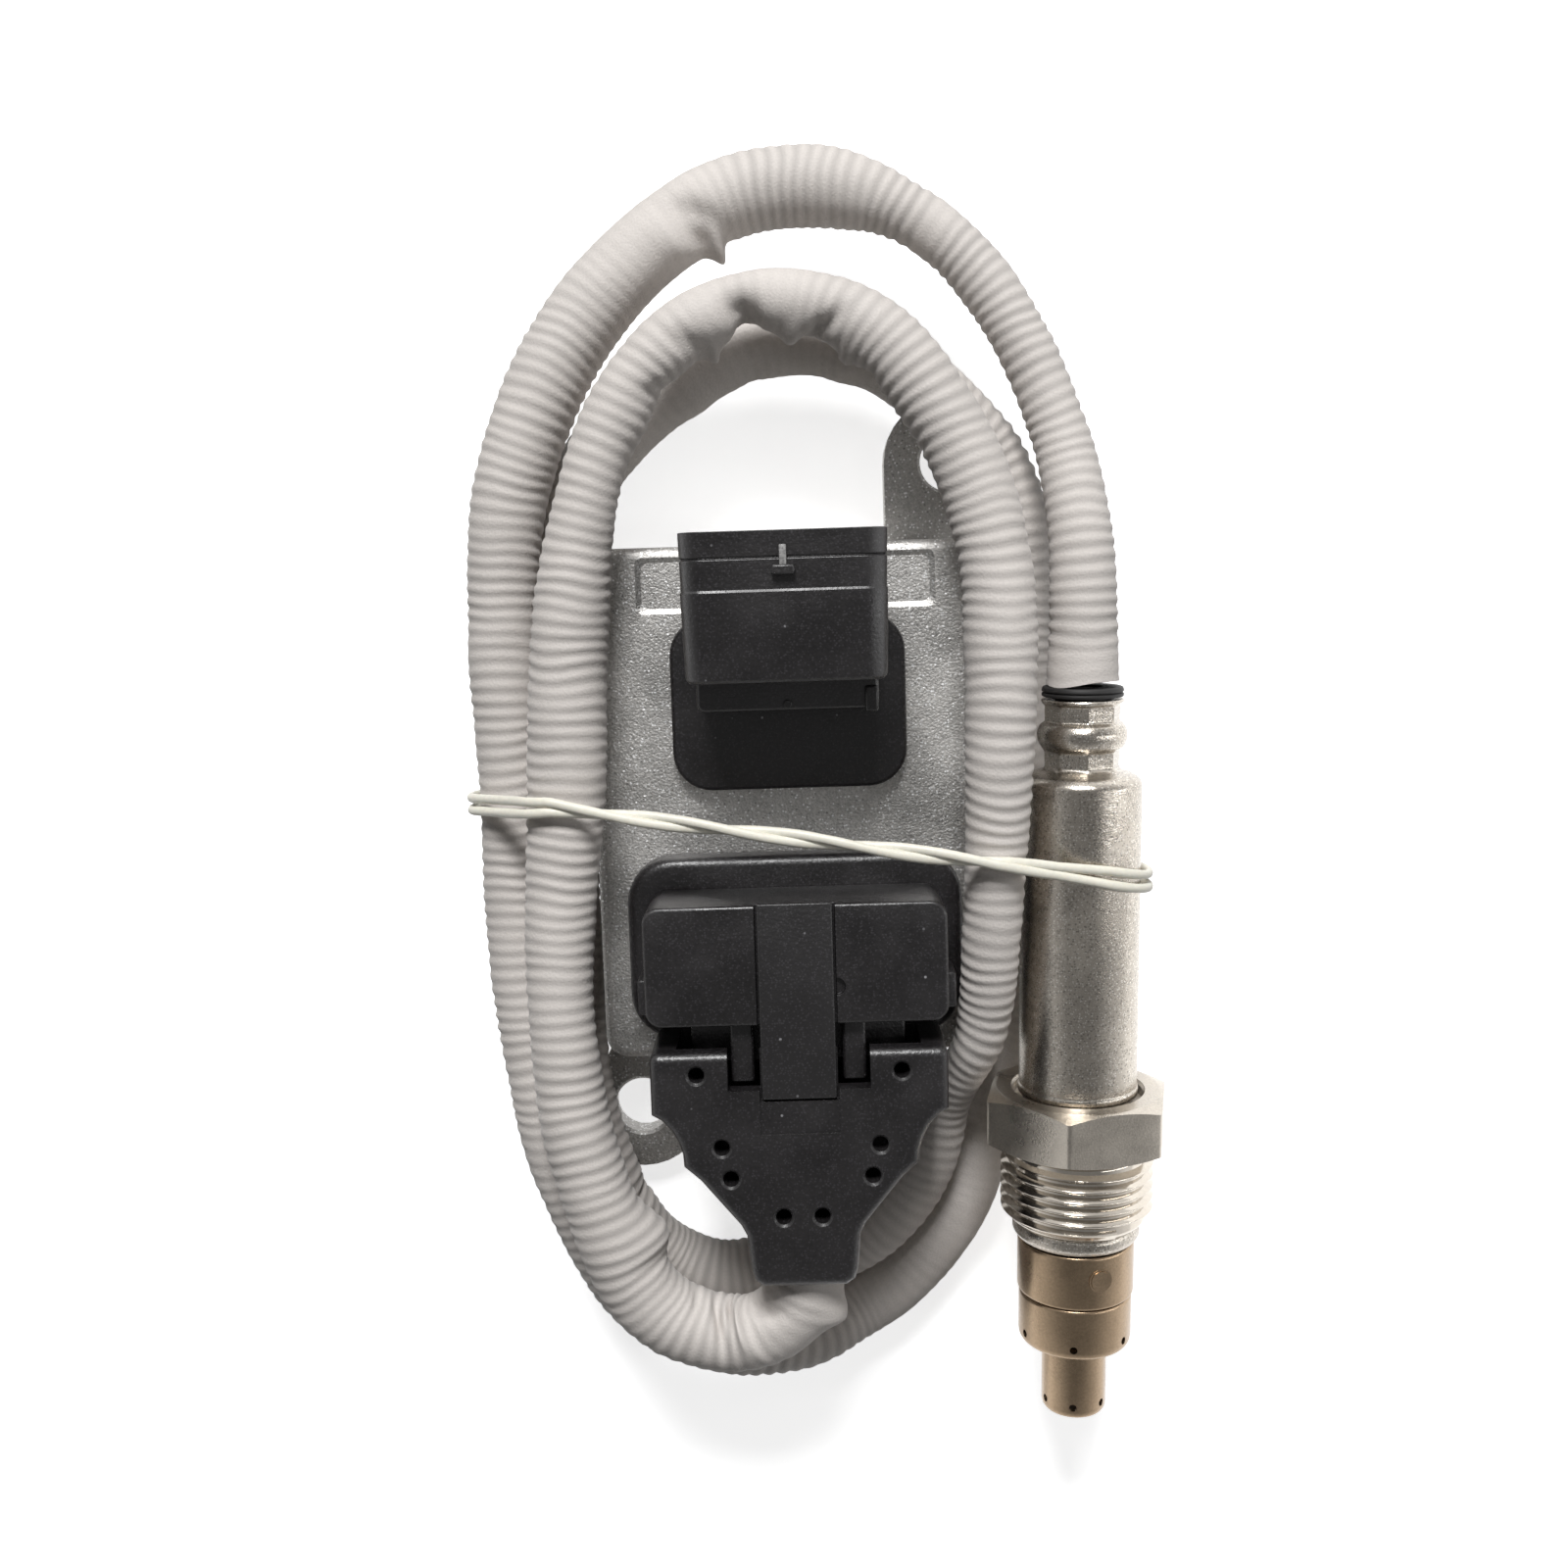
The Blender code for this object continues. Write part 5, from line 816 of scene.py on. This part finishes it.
def press_flats(bm, z0, z1, count):
    """Press a turned neck between flat jaws, so that it gets flats all round, fading out at both ends."""
    middle, half = (z0 + z1) / 2, (z1 - z0) / 2
    for v in bm.verts:
        r = math.hypot(v.co.x, v.co.y)
        if z0 < v.co.z < z1 and r > 4.2 * MM:
            step = 2 * math.pi / count
            across = math.atan2(v.co.y, v.co.x) % step - step / 2
            flat = math.cos(step / 2) / math.cos(across)
            amount = 1 - ((v.co.z - middle) / half) ** 6
            factor = 1 + amount * (flat * 1.03 - 1)
            v.co.x *= factor
            v.co.y *= factor


class SENSOR_OT_swivel_nut(bpy.types.Operator):
    """Build the loose hexagon nut and its thread"""
    bl_idname = "sensor.swivel_nut"
    bl_label = "Swivel Nut"

    def execute(self, context):
        s = context.scene.probe_settings_nox
        z0, z1, z2 = 52.4 * MM, 59.5 * MM, 70.0 * MM
        corner = s.flats / math.sqrt(3)
        flat = s.flats / 2
        hexagon = rod((0, 0, z0), (0, 0, z1), corner, 6)
        first = min(hexagon.verts, key=lambda v: abs(math.atan2(v.co.y, v.co.x)))
        turn = math.radians(NUT_TURN) - math.atan2(first.co.y, first.co.x)
        bmesh.ops.rotate(hexagon, cent=(0, 0, 0), matrix=Matrix.Rotation(turn, 3, "Z"), verts=hexagon.verts)
        round_edges(hexagon, lambda a, b: abs(a.z - b.z) > MM, 0.35 * MM, 3)
        wide = corner + 0.6 * MM
        chamfer = turned([(0, z0, 0), (flat - 0.4 * MM, z0, 0.2 * MM), (wide, z0 + 1.1 * MM, 0),
                          (wide, z1 - 0.9 * MM, 0), (flat - 0.1 * MM, z1, 0.2 * MM), (0, z1, 0)], 96, False)
        hexagon = carved(hexagon, chamfer, operation="INTERSECT")
        root = s.thread_radius - s.thread_depth
        shank = turned([(0, z1 - MM, 0), (root - 0.25 * MM, z1 - MM, 0),
                        (root - 0.25 * MM, z1 + 0.7 * MM, 0.2 * MM),
                        (root, z1 + 1.1 * MM, 0.2 * MM), (root, z2 - 0.6 * MM, 0.2 * MM),
                        (root - 0.5 * MM, z2, 0), (0, z2, 0)], 72, False)
        bore = 7.05 * MM
        mouth = 8.35 * MM
        hole = turned([(0, z0 - MM, 0), (mouth + 0.3 * MM, z0 - MM, 0),
                       (mouth + 0.3 * MM, z0 + 0.05 * MM, 0.1 * MM),
                       (mouth, z0 + 0.4 * MM, 0), (mouth, z0 + 1.6 * MM, 0), (bore, z0 + 1.8 * MM, 0),
                       (bore, z2 + MM, 0), (0, z2 + MM, 0)], 72, False)
        thread = joined(carved(shank, hole.copy()), thread_ridge(s, z1 + 1.0 * MM, z2 - 0.1 * MM))
        add_piece("hexagon_nut", carved(hexagon, hole), turned_stainless(scaled(s.steel, 1.1)),
                  ["swivel_nut"], 25, probe_place(), body=TURNING)
        add_piece("nut_thread", thread, polished_stainless(scaled(s.steel, 1.25)), [],
                  32, probe_place(), body=TURNING)
        return {"FINISHED"}


def thread_ridge(s, z0, z1):
    """The thread's ridge, swept along a helix and faded out at both ends."""
    root = s.thread_radius - s.thread_depth - 0.15 * MM
    pitch = s.thread_pitch
    per_turn = 48
    turns = (z1 - z0 - 0.95 * pitch) / pitch
    bm = bmesh.new()
    corners = [(root, 0.0), (s.thread_radius - 0.05 * MM, 0.40 * pitch), (s.thread_radius, 0.46 * pitch),
               (s.thread_radius, 0.50 * pitch), (s.thread_radius - 0.05 * MM, 0.56 * pitch),
               (root, 0.96 * pitch)]
    line = [bm.verts.new((r, 0.0, z0 + z)) for r, z in corners]
    edges = [bm.edges.new((line[i - 1], line[i])) for i in range(len(line))]
    bmesh.ops.spin(bm, geom=line + edges, cent=(0, 0, 0), axis=(0, 0, 1), dvec=(0, 0, pitch / per_turn),
                   angle=2 * math.pi * turns, steps=int(per_turn * turns), use_merge=False,
                   use_duplicate=False)
    bmesh.ops.holes_fill(bm, edges=[e for e in bm.edges if e.is_boundary], sides=0)
    face_outwards(bm)
    for v in bm.verts:
        r = math.hypot(v.co.x, v.co.y)
        along = min(v.co.z - z0, z1 - v.co.z) / pitch
        fade = min(1.0, max(0.0, along / 0.9))
        factor = (root + (r - root) * fade) / r
        v.co.x *= factor
        v.co.y *= factor
    return bm


class SENSOR_OT_shields(bpy.types.Operator):
    """Build the seat flange, the collar with its weld dot, the gas shield and the tip tube"""
    bl_idname = "sensor.shields"
    bl_label = "Seat, Collar and Shields"

    def execute(self, context):
        s = context.scene.probe_settings_nox
        place = probe_place()
        steel = satin_stainless(scaled(s.steel, 0.95))
        body = turned(millimetres([(5.2, 44.0, 0), (6.6, 44.0, 0.2), (6.6, 70.3, 0), (8.0, 70.3, 0.2),
                                   (8.3, 70.9, 0.3), (8.3, 71.8, 0.3), (7.75, 72.55, 0.2), (5.2, 72.6, 0)]))
        add_piece("seat_body", body, steel, ["probe_body"], place=place)
        warm = tinted_nickel(rgba(s.tinted))
        collar = turned(millimetres([(7.1, 72.9, 0), (7.45, 72.9, 0.1), (7.6, 73.2, 0.15), (7.6, 79.75, 0.12),
                                     (7.5, 80.0, 0.1), (7.1, 80.0, 0)]), 96)
        angle = math.radians(90 + 15.7)
        out = Vector((math.cos(angle), math.sin(angle), 0))
        at = Vector((0, 0, 76.0 * MM))
        dot = rod(out * 7.3 * MM + at, out * 7.75 * MM + at, 1.42 * MM, 32, 1.3 * MM)
        ring = rod(out * 7.3 * MM + at, out * 7.62 * MM + at, 1.62 * MM, 32, 1.58 * MM)
        add_piece("collar_with_weld", joined(collar, dot, ring), warm, ["outer_collar"],
                  place=place)
        r = s.shield_radius / MM
        shield = turned(millimetres([(6.2, 72.9, 0), (6.8, 72.9, 0), (6.8, 80.3, 0), (r - 0.15, 80.3, 0.1),
                                     (r, 80.6, 0.15), (r, 87.2, 1.1), (4.55, 87.2, 0.1), (4.55, 86.6, 0),
                                     (6.2, 86.6, 0)]), 96)
        shield = carved(shield, gas_holes(85.6 * MM, 5.0 * MM, 9.0 * MM, s.gas_hole))
        add_piece("gas_shield_cap", shield, warm, ["gas_shield"], place=place)
        t = s.tip_radius / MM
        tip = turned(millimetres([(t - 0.5, 85.8, 0), (t + 1.6, 85.8, 0), (t + 1.6, 86.3, 0), (t, 86.3, 0),
                                  (t, 97.1, 1.0), (1.0, 97.1, 0.1), (1.0, 96.6, 0), (t - 0.5, 96.6, 0)]), 72)
        tip = carved(tip, gas_holes(95.4 * MM, 3.0 * MM, 6.0 * MM, s.gas_hole))
        add_piece("tip_cap", tip, warm, ["tip_tube"], place=place)
        return {"FINISHED"}


def gas_holes(z, inner, outer, radius):
    """Six radial rods that cut a ring of gas holes."""
    rods = []
    for k in range(6):
        a = math.radians(80 + 60 * k)
        way = Vector((math.cos(a), math.sin(a), 0))
        at = Vector((0, 0, z))
        rods.append(rod(way * inner + at, way * outer + at, radius, 16))
    return joined(*rods)


# Sleeve

def smooth_route(steps=16):
    """Smooth curve through the route: a list of (place, radius) in metres."""
    pts = [Vector(p) for p in ROUTE]
    pts.insert(0, 2 * pts[0] - pts[1])
    pts.append(2 * pts[-1] - pts[-2])
    out = []
    for i in range(1, len(pts) - 2):
        a, b, c, d = pts[i - 1], pts[i], pts[i + 1], pts[i + 2]
        for k in range(steps):
            t = k / steps
            out.append(0.5 * (2 * b + (c - a) * t + (2 * a - 5 * b + 4 * c - d) * t * t
                              + (3 * b - a - 3 * c + d) * t ** 3))
    out.append(pts[-2])
    for _ in range(SMOOTHING_PASSES):
        new = list(out)
        for i in range(STRAIGHT_START + 2, len(out) - STRAIGHT_START - 2):
            new[i] = 0.25 * out[i - 1] + 0.5 * out[i] + 0.25 * out[i + 1]
        out = new
    return [(Vector(p[:3]) * MM, p[3] * MM) for p in out]


def even_steps(curve, step):
    """Walk along a curve in even steps: a list of (place, radius, distance walked)."""
    out = [(curve[0][0], curve[0][1], 0.0)]
    walked = 0.0
    wanted = step
    for (p, r), (q, t) in zip(curve, curve[1:]):
        span = (q - p).length
        while span > 0 and walked + span >= wanted:
            f = (wanted - walked) / span
            out.append((p.lerp(q, f), r + (t - r) * f, wanted))
            wanted += step
        walked += span
    if (curve[-1][0] - out[-1][0]).length > 0.3 * step:
        out.append((curve[-1][0], curve[-1][1], walked))
    else:
        out[-1] = (curve[-1][0], curve[-1][1], walked)
    return out


def ring_frames(places):
    """Tangent, normal and side of every ring, carried along without twist."""
    frames = []
    normal = Vector((0, 0, 1))
    last = len(places) - 1
    for i, place in enumerate(places):
        tangent = (places[min(i + 1, last)] - places[max(i - 1, 0)]).normalized()
        normal = (normal - tangent * normal.dot(tangent)).normalized()
        frames.append((tangent, normal, tangent.cross(normal)))
    return frames


# FOLDS holds where the sleeve is pinched: x, y, z on its skin and the depth (below zero it bulges), then
# how far the fold reaches along and round the sleeve, all in millimetres, and how much it slants.
FOLDS = [
    (-9.4, 72.4, 15.0, 1.3, 1.6, 4.0, 0.5), (-7.2, 70.2, 13.5, -3.0, 1.3, 2.3, 0.0),
    (-10.4, 74.5, 18.0, 1.0, 1.8, 2.6, 0.7), (-12.0, 71.5, 15.5, -0.7, 2.4, 3.2, 0.2),
    (-4.0, 60.8, 25.0, 2.2, 2.2, 3.2, 0.2), (-3.4, 59.0, 21.5, 2.0, 2.0, 2.6, 0.0),
    (-8.6, 58.2, 21.0, -1.7, 1.3, 2.4, 0.0), (-11.6, 58.4, 23.5, 0.8, 1.6, 3.0, 0.3),
    (2.2, 58.5, 22.0, -1.4, 1.7, 2.6, -0.2), (6.0, 60.0, 24.0, 1.1, 1.1, 3.4, -0.5),
    (9.0, 56.8, 22.0, -1.1, 1.7, 2.6, 0.0), (12.2, 54.6, 22.0, 0.9, 1.3, 2.8, -0.2),
    (-16.0, 53.0, 23.5, 0.9, 1.6, 3.0, 0.4), (-19.5, 49.0, 23.5, -0.5, 2.4, 3.0, 0.0),
    (3.6, -64.6, 27.0, -1.9, 1.7, 3.0, 0.0), (-2.5, -60.2, 29.5, 1.0, 1.2, 3.0, 0.4),
    (-5.4, -63.6, 29.0, 1.0, 1.6, 2.6, 0.9), (-9.0, -64.4, 29.5, -1.1, 1.1, 4.4, 0.3),
    (-11.0, -63.6, 29.0, 1.5, 0.8, 4.2, 0.3), (-9.6, -62.4, 27.5, 1.2, 1.2, 2.4, 0.3),
    (-18.1, -53.7, 25.0, -2.2, 3.6, 3.6, 0.0), (-13.0, -60.5, 27.5, 0.6, 1.2, 2.6, 0.3),
    (-9.0, -50.0, 12.0, 0.6, 1.5, 3.0, 0.0), (-20.0, -57.5, 28.0, 0.5, 1.4, 3.0, 0.0),
    (-12.0, 53.2, 12.0, -0.7, 2.6, 4.0, 0.0), (-4.0, 56.0, 13.0, 0.7, 2.2, 4.0, 0.0),
    (8.0, 56.0, 13.0, -0.6, 2.6, 4.0, 0.0),
]


def fold_places(rings, frames):
    """Station and direction of every fold: (distance, angle, depth, along, round, slant)."""
    found = []
    for x, y, z, depth, along, across, slant in FOLDS:
        point = Vector((x, y, z)) * MM
        i = min(range(len(rings)), key=lambda k: abs((rings[k][0] - point).length - rings[k][1]))
        near = min(range(len(rings)), key=lambda k: (rings[k][0] - point).length)
        if (rings[near][0] - point).length < NEAR_SKIN:
            i = near
        tangent, normal, side = frames[i]
        out = point - rings[i][0]
        found.append((rings[i][2], math.atan2(out.dot(side), out.dot(normal)), depth * MM, along * MM,
                      across * MM / rings[i][1], slant))
    return found


# SMOOTH holds where the ribs fade out: x, y, z and reach in millimetres.
SMOOTH = [
    (-17.0, 70.5, 13.5, 8.0), (-9.0, 74.5, 13.0, 7.0), (37.1, 17.5, 22.6, 3.0), (-9.0, 61.0, 22.2, 6.0),
    (0.5, 63.0, 22.4, 4.5), (-2.5, -65.0, 26.0, 5.5), (20.5, 72.3, 13.8, 2.0), (-19.8, 50.2, 9.2, 9.0),
    (-9.5, 57.1, 10.8, 9.0), (2.7, 59.9, 11.2, 9.0), (14.1, 56.8, 11.0, 8.0), (28.5, -38.0, 5.0, 9.0),
    (24.0, -52.0, 5.0, 9.0), (19.5, -62.6, 5.4, 9.0), (11.3, -71.1, 5.8, 7.0),
]


def rib_strength(place, walked):
    """How deep the ribs are at a place on the route: uneven, and fading at the smooth spots."""
    slow, quick = Vector((walked * 60, 0, 0)), Vector((walked * 300, 2, 0))
    strength = 0.9 + 0.5 * noise.noise(slow) + 0.25 * noise.noise(quick)
    for x, y, z, reach in SMOOTH:
        gap = (place - Vector((x, y, z)) * MM).length
        strength *= 1 - 0.85 * math.exp(-(gap / (reach * MM)) ** 2)
    return strength


class SENSOR_OT_sleeve(bpy.types.Operator):
    """Build the ribbed sleeve along its whole route"""
    bl_idname = "sensor.sleeve"
    bl_label = "Ribbed Sleeve"

    sides = 28

    def execute(self, context):
        s = context.scene.sleeve_settings_nox
        rings = even_steps(smooth_route(), s.pitch / len(RIB_SHAPE))
        frames = ring_frames([place for place, _, _ in rings])
        folds = fold_places(rings, frames)
        bm = bmesh.new()
        groove = bm.verts.layers.float.new("groove")
        rows = []
        for i, ((place, radius, walked), (tangent, normal, side)) in enumerate(zip(rings, frames)):
            dip = RIB_SHAPE[i % len(RIB_SHAPE)] * rib_strength(place, walked)
            row = []
            for k in range(self.sides):
                angle = 2 * math.pi * k / self.sides
                out = normal * math.cos(angle) + side * math.sin(angle)
                skin = place + out * radius
                soft = (noise.noise(skin * 90) - 0.4) * 0.2 * MM + noise.noise(skin * 260) * 0.08 * MM
                change = -s.depth * dip * (0.95 + 0.9 * noise.noise(skin * 170)) + soft
                shift = noise.noise(skin * 130 + Vector((7, 3, 1))) * 0.8 * MM
                for at, way, depth, along, across, slant in folds:
                    ds = walked - at
                    if abs(ds) < 4 * along:
                        turn = (angle - way + math.pi) % (2 * math.pi) - math.pi
                        ds -= slant * turn * radius
                        change -= depth * math.exp(-(ds / along) ** 2 - (turn / across) ** 2)
                vert = bm.verts.new(place + out * (radius + change) + tangent * shift)
                vert[groove] = dip
                row.append(vert)
            rows.append(row)
        for low, high in zip(rows, rows[1:]):
            for k in range(self.sides):
                bm.faces.new((low[k - 1], low[k], high[k], high[k - 1]))
        bm.faces.new(list(reversed(rows[0])))
        bm.faces.new(rows[-1])
        face_outwards(bm)
        grey = ribbed_silicone(rgba(s.grey))
        piece = add_piece("ribbed_sleeve", bm, grey, ["cable_sleeve"], 80)
        return {"FINISHED"}


# Band

# FRONT holds x and y of the band's line over the front, and FRONT_HEIGHTS the height where it starts to
# leave the straight line of the back and where it is all on its own line, in millimetres.
FRONT_HEIGHTS = (8.0, 16.0)
FRONT = [(-42.5, 1.3), (-38.8, 1.7), (-29.65, 2.3), (-22.5, 1.1), (-17.6, -0.1), (-8.3, -1.6), (0.7, -3.0),
         (12.7, -4.6), (21.7, -5.5), (29.5, -6.6), (34.7, -7.6), (45.5, -10.2)]


def band_y(x, z=0.0):
    """Y of the band at x: straight across the back, and along its own line over the front."""
    (left, y0), (right, y1) = FRONT[0], FRONT[-1]
    at = min(right, max(left, x / MM))
    back = y0 + (y1 - y0) * (at - left) / (right - left)
    for (xa, ya), (xb, yb) in zip(FRONT, FRONT[1:]):
        if xa <= at <= xb:
            front = ya + (yb - ya) * (at - xa) / (xb - xa)
    share = min(1.0, max(0.0, (z / MM - FRONT_HEIGHTS[0]) / (FRONT_HEIGHTS[1] - FRONT_HEIGHTS[0])))
    return (back + (front - back) * share) * MM


def hull(points):
    """Convex hull of 2-D points, counter-clockwise."""
    points = sorted(set(points))
    halves = []
    for seq in (points, list(reversed(points))):
        chain = []
        for p in seq:
            while len(chain) > 1 and ((chain[-1][0] - chain[-2][0]) * (p[1] - chain[-2][1])
                                      - (chain[-1][1] - chain[-2][1]) * (p[0] - chain[-2][0])) <= 0:
                chain.pop()
            chain.append(p)
        halves.append(chain[:-1])
    return halves[0] + halves[1]


def band_loop(half_thickness):
    """Closed line of the band round the whole bundle, as 3-D points."""
    circles = []
    for p, r in smooth_route():
        if abs(p.y - band_y(p.x)) < 1.2 * MM:
            circles.append((p.x, p.z, r))
    place = probe_place()
    for k in range(60):
        q = place @ Vector((0, 0, k * MM))
        if abs(q.y - band_y(q.x)) < 1.0 * MM:
            circles.append((q.x, q.z, 7.6 * MM))
    circles += [(-25.8 * MM, 1.6 * MM, 0.0), (25.8 * MM, 1.6 * MM, 0.0)]
    cloud = []
    for x, z, r in circles:
        for k in range(96):
            a = 2 * math.pi * k / 96
            reach = r + half_thickness + 0.12 * MM
            low = half_thickness + 0.1 * MM
            cloud.append((round(x + reach * math.cos(a), 7), round(max(low, z + reach * math.sin(a)), 7)))
    corners = [Vector((x, band_y(x, z), z)) for x, z in hull(cloud)]
    return corners + [corners[0]]


class SENSOR_OT_band(bpy.types.Operator):
    """Build the elastic band, two strands that are twisted together over the front"""
    bl_idname = "sensor.band"
    bl_label = "Tie Band"

    sides = 12
    spacing = 0.7 * MM

    def execute(self, context):
        s = context.scene.sleeve_settings_nox
        half = s.strand / 2
        line = even_steps([(p, half) for p in band_loop(1.5 * half)], self.spacing)[:-1]
        count = len(line)
        strands = []
        for sign in (1, -1):
            bm = bmesh.new()
            rows = []
            for i, (place, _, _) in enumerate(line):
                tangent = (line[(i + 1) % count][0] - line[i - 1][0]).normalized()
                out = Vector((tangent.z, 0, -tangent.x)).normalized()
                side = tangent.cross(out).normalized()
                twist, spread = band_twist(place)
                centre = place + (side * math.cos(twist) * spread + out * math.sin(twist) * 0.8 * half) * sign
                row = []
                for k in range(self.sides):
                    a = 2 * math.pi * k / self.sides
                    wide = 1.0 + 0.1 * noise.noise(place * 300 + Vector((sign, 0, 0)))
                    reach = (side * math.cos(a) * wide + out * math.sin(a) * 0.8) * half
                    row.append(bm.verts.new(centre + reach))
                rows.append(row)
            for i in range(count):
                a, b = rows[i], rows[(i + 1) % count]
                for k in range(self.sides):
                    bm.faces.new((a[k - 1], a[k], b[k], b[k - 1]))
            face_outwards(bm)
            strands.append(bm)
        ivory = elastic_rubber(rgba(s.ivory))
        add_piece("elastic_band", joined(*strands), ivory, ["tie_band"], 80)
        return {"FINISHED"}


def band_twist(place):
    """Twist angle and half spread of the two strands at a place on the band."""
    x = place.x / MM
    if place.z < 12 * MM:
        return 0.0, 0.8 * MM
    t = min(1.0, max(0.0, (x + 30.0) / 61.0))
    spread = 0.5
    spread += 0.3 * min(1.0, max(0.0, (-26 - x) / 8)) + 0.35 * min(1.0, max(0.0, (x - 32) / 7))
    return math.pi * 4 * t, spread * MM


# Stage

# LIGHTS holds each lamp's name, its place, what it looks at, its size and its power, in metres and watts.
LIGHTS = [
    ("key_softbox", (-0.08, 1.05, 0.90), (0.0, 0.01, 0.0), (0.40, 0.40), 20.8),
    ("side_strip", (0.45, 0.02, 0.28), (0.03, 0.0, 0.01), (0.03, 0.5), 0.42),
]


class SENSOR_OT_stage(bpy.types.Operator):
    """Set the floor, the studio lights and the camera"""
    bl_idname = "sensor.stage"
    bl_label = "Stage"

    def execute(self, context):
        s = context.scene.stage_settings_nox
        scene = context.scene
        scene.view_settings.view_transform = "Standard"
        floor_mesh = bpy.data.meshes.new("floor")
        bm = bmesh.new()
        bmesh.ops.create_grid(bm, x_segments=1, y_segments=1, size=1.2)
        bm.to_mesh(floor_mesh)
        bm.free()
        floor = bpy.data.objects.new("floor", floor_mesh)
        scene.collection.objects.link(floor)
        floor_mesh.materials.append(white_floor(rgba(s.floor)))
        for lamp in LIGHTS:
            add_light(*lamp)
        set_world(scene)
        camera = bpy.data.cameras.new("camera")
        camera.lens = s.lens
        camera.sensor_width = 36.0
        camera.clip_start = 0.01
        holder = bpy.data.objects.new("camera", camera)
        place = Vector((*mm(*CAMERA_AT), s.camera_height)) - ORIGIN
        holder.matrix_world = Matrix.Translation(place) @ Matrix(CAMERA_TURN).transposed().to_4x4()
        scene.collection.objects.link(holder)
        scene.camera = holder
        return {"FINISHED"}


def add_light(name, place, aim, size, power):
    """A soft light, size across and along, that looks at a point."""
    light = bpy.data.lights.new(name, "AREA")
    light.shape = "RECTANGLE"
    light.size, light.size_y = size
    light.energy = power
    lamp = bpy.data.objects.new(name, light)
    bpy.context.scene.collection.objects.link(lamp)
    way = Vector(aim) - Vector(place)
    lamp.matrix_world = Matrix.Translation(place) @ way.to_track_quat("-Z", "Y").to_matrix().to_4x4()


def looked_at(tree):
    """1 for the camera and for reflections and refractions, 0 for the light that falls on things."""
    path = add_node(tree, "ShaderNodeLightPath")
    mirrored = add_node(tree, "ShaderNodeMath", {"operation": "MAXIMUM"},
                        {0: path.outputs["Is Glossy Ray"], 1: path.outputs["Is Transmission Ray"]})
    return add_node(tree, "ShaderNodeMath", {"operation": "MAXIMUM"},
                    {0: path.outputs["Is Camera Ray"], 1: mirrored.outputs[0]}).outputs[0]


def white_floor(colour):
    """White paper: the camera and reflections see it white, with the object's soft shadow on it."""
    material, tree, shader, _ = start_material("white_paper", colour, 1.0)
    shader.inputs["Specular IOR Level"].default_value = 0.0
    seen = looked_at(tree)
    base = add_node(tree, "ShaderNodeMix", {"data_type": "RGBA", 6: linear("#505351"), 7: colour}, {0: seen})
    tree.links.new(base.outputs[2], shader.inputs["Base Color"])
    shader.inputs["Emission Color"].default_value = colour
    glow = add_node(tree, "ShaderNodeMath", {"operation": "MULTIPLY", 1: 0.7}, {0: seen})
    tree.links.new(glow.outputs[0], shader.inputs["Emission Strength"])
    return material


def set_world(scene):
    """White surroundings that grow dark overhead, and light the object gently."""
    world = bpy.data.worlds.new("studio")
    scene.world = world
    world.use_nodes = True
    tree = world.node_tree
    back = tree.nodes["Background"]
    back.inputs["Color"].default_value = (1, 1, 1, 1)
    way = add_node(tree, "ShaderNodeTexCoord")
    parts = add_node(tree, "ShaderNodeSeparateXYZ", None, {0: way.outputs["Generated"]})
    sky = add_node(tree, "ShaderNodeMapRange",
                   {"From Min": 0.12, "From Max": 0.8, "To Min": 1.0, "To Max": 0.24},
                   {"Value": parts.outputs["Z"]})
    strength = add_node(tree, "ShaderNodeMix", {"data_type": "FLOAT", 2: 0.11},
                        {0: looked_at(tree), 3: sky.outputs["Result"]})
    tree.links.new(strength.outputs[0], back.inputs["Strength"])


class SENSOR_PT_panel(bpy.types.Panel):
    """List the pieces in the sidebar"""
    bl_label = "Exhaust Sensor"
    bl_idname = "SENSOR_PT_panel"
    bl_space_type = "VIEW_3D"
    bl_region_type = "UI"
    bl_category = "Sensor"

    def draw(self, context):
        for operator in OPERATORS:
            self.layout.operator(operator.bl_idname)


SETTINGS = {
    "unit_settings_nox": UnitSettings,
    "plug_settings_nox": PlugSettings,
    "probe_settings_nox": ProbeSettings,
    "sleeve_settings_nox": SleeveSettings,
    "stage_settings_nox": StageSettings,
}
OPERATORS = [SENSOR_OT_stage, SENSOR_OT_sleeve, SENSOR_OT_housing, SENSOR_OT_board,
             SENSOR_OT_harness_connector, SENSOR_OT_sensor_plug, SENSOR_OT_strain_cover,
             SENSOR_OT_upper_shell, SENSOR_OT_swivel_nut, SENSOR_OT_shields, SENSOR_OT_band]


def register():
    """Register the settings, the operators and the panel."""
    for name, group in SETTINGS.items():
        bpy.utils.register_class(group)
        setattr(bpy.types.Scene, name, PointerProperty(type=group))
    for cls in OPERATORS + [SENSOR_PT_panel]:
        bpy.utils.register_class(cls)


def unregister():
    """Take back what register added."""
    for cls in reversed(OPERATORS + [SENSOR_PT_panel]):
        bpy.utils.unregister_class(cls)
    for name, group in SETTINGS.items():
        delattr(bpy.types.Scene, name)
        bpy.utils.unregister_class(group)


def main():
    """Build every piece in order."""
    register()
    for operator in OPERATORS:
        group, name = operator.bl_idname.split(".")
        getattr(getattr(bpy.ops, group), name)()


if __name__ == "__main__":
    main()
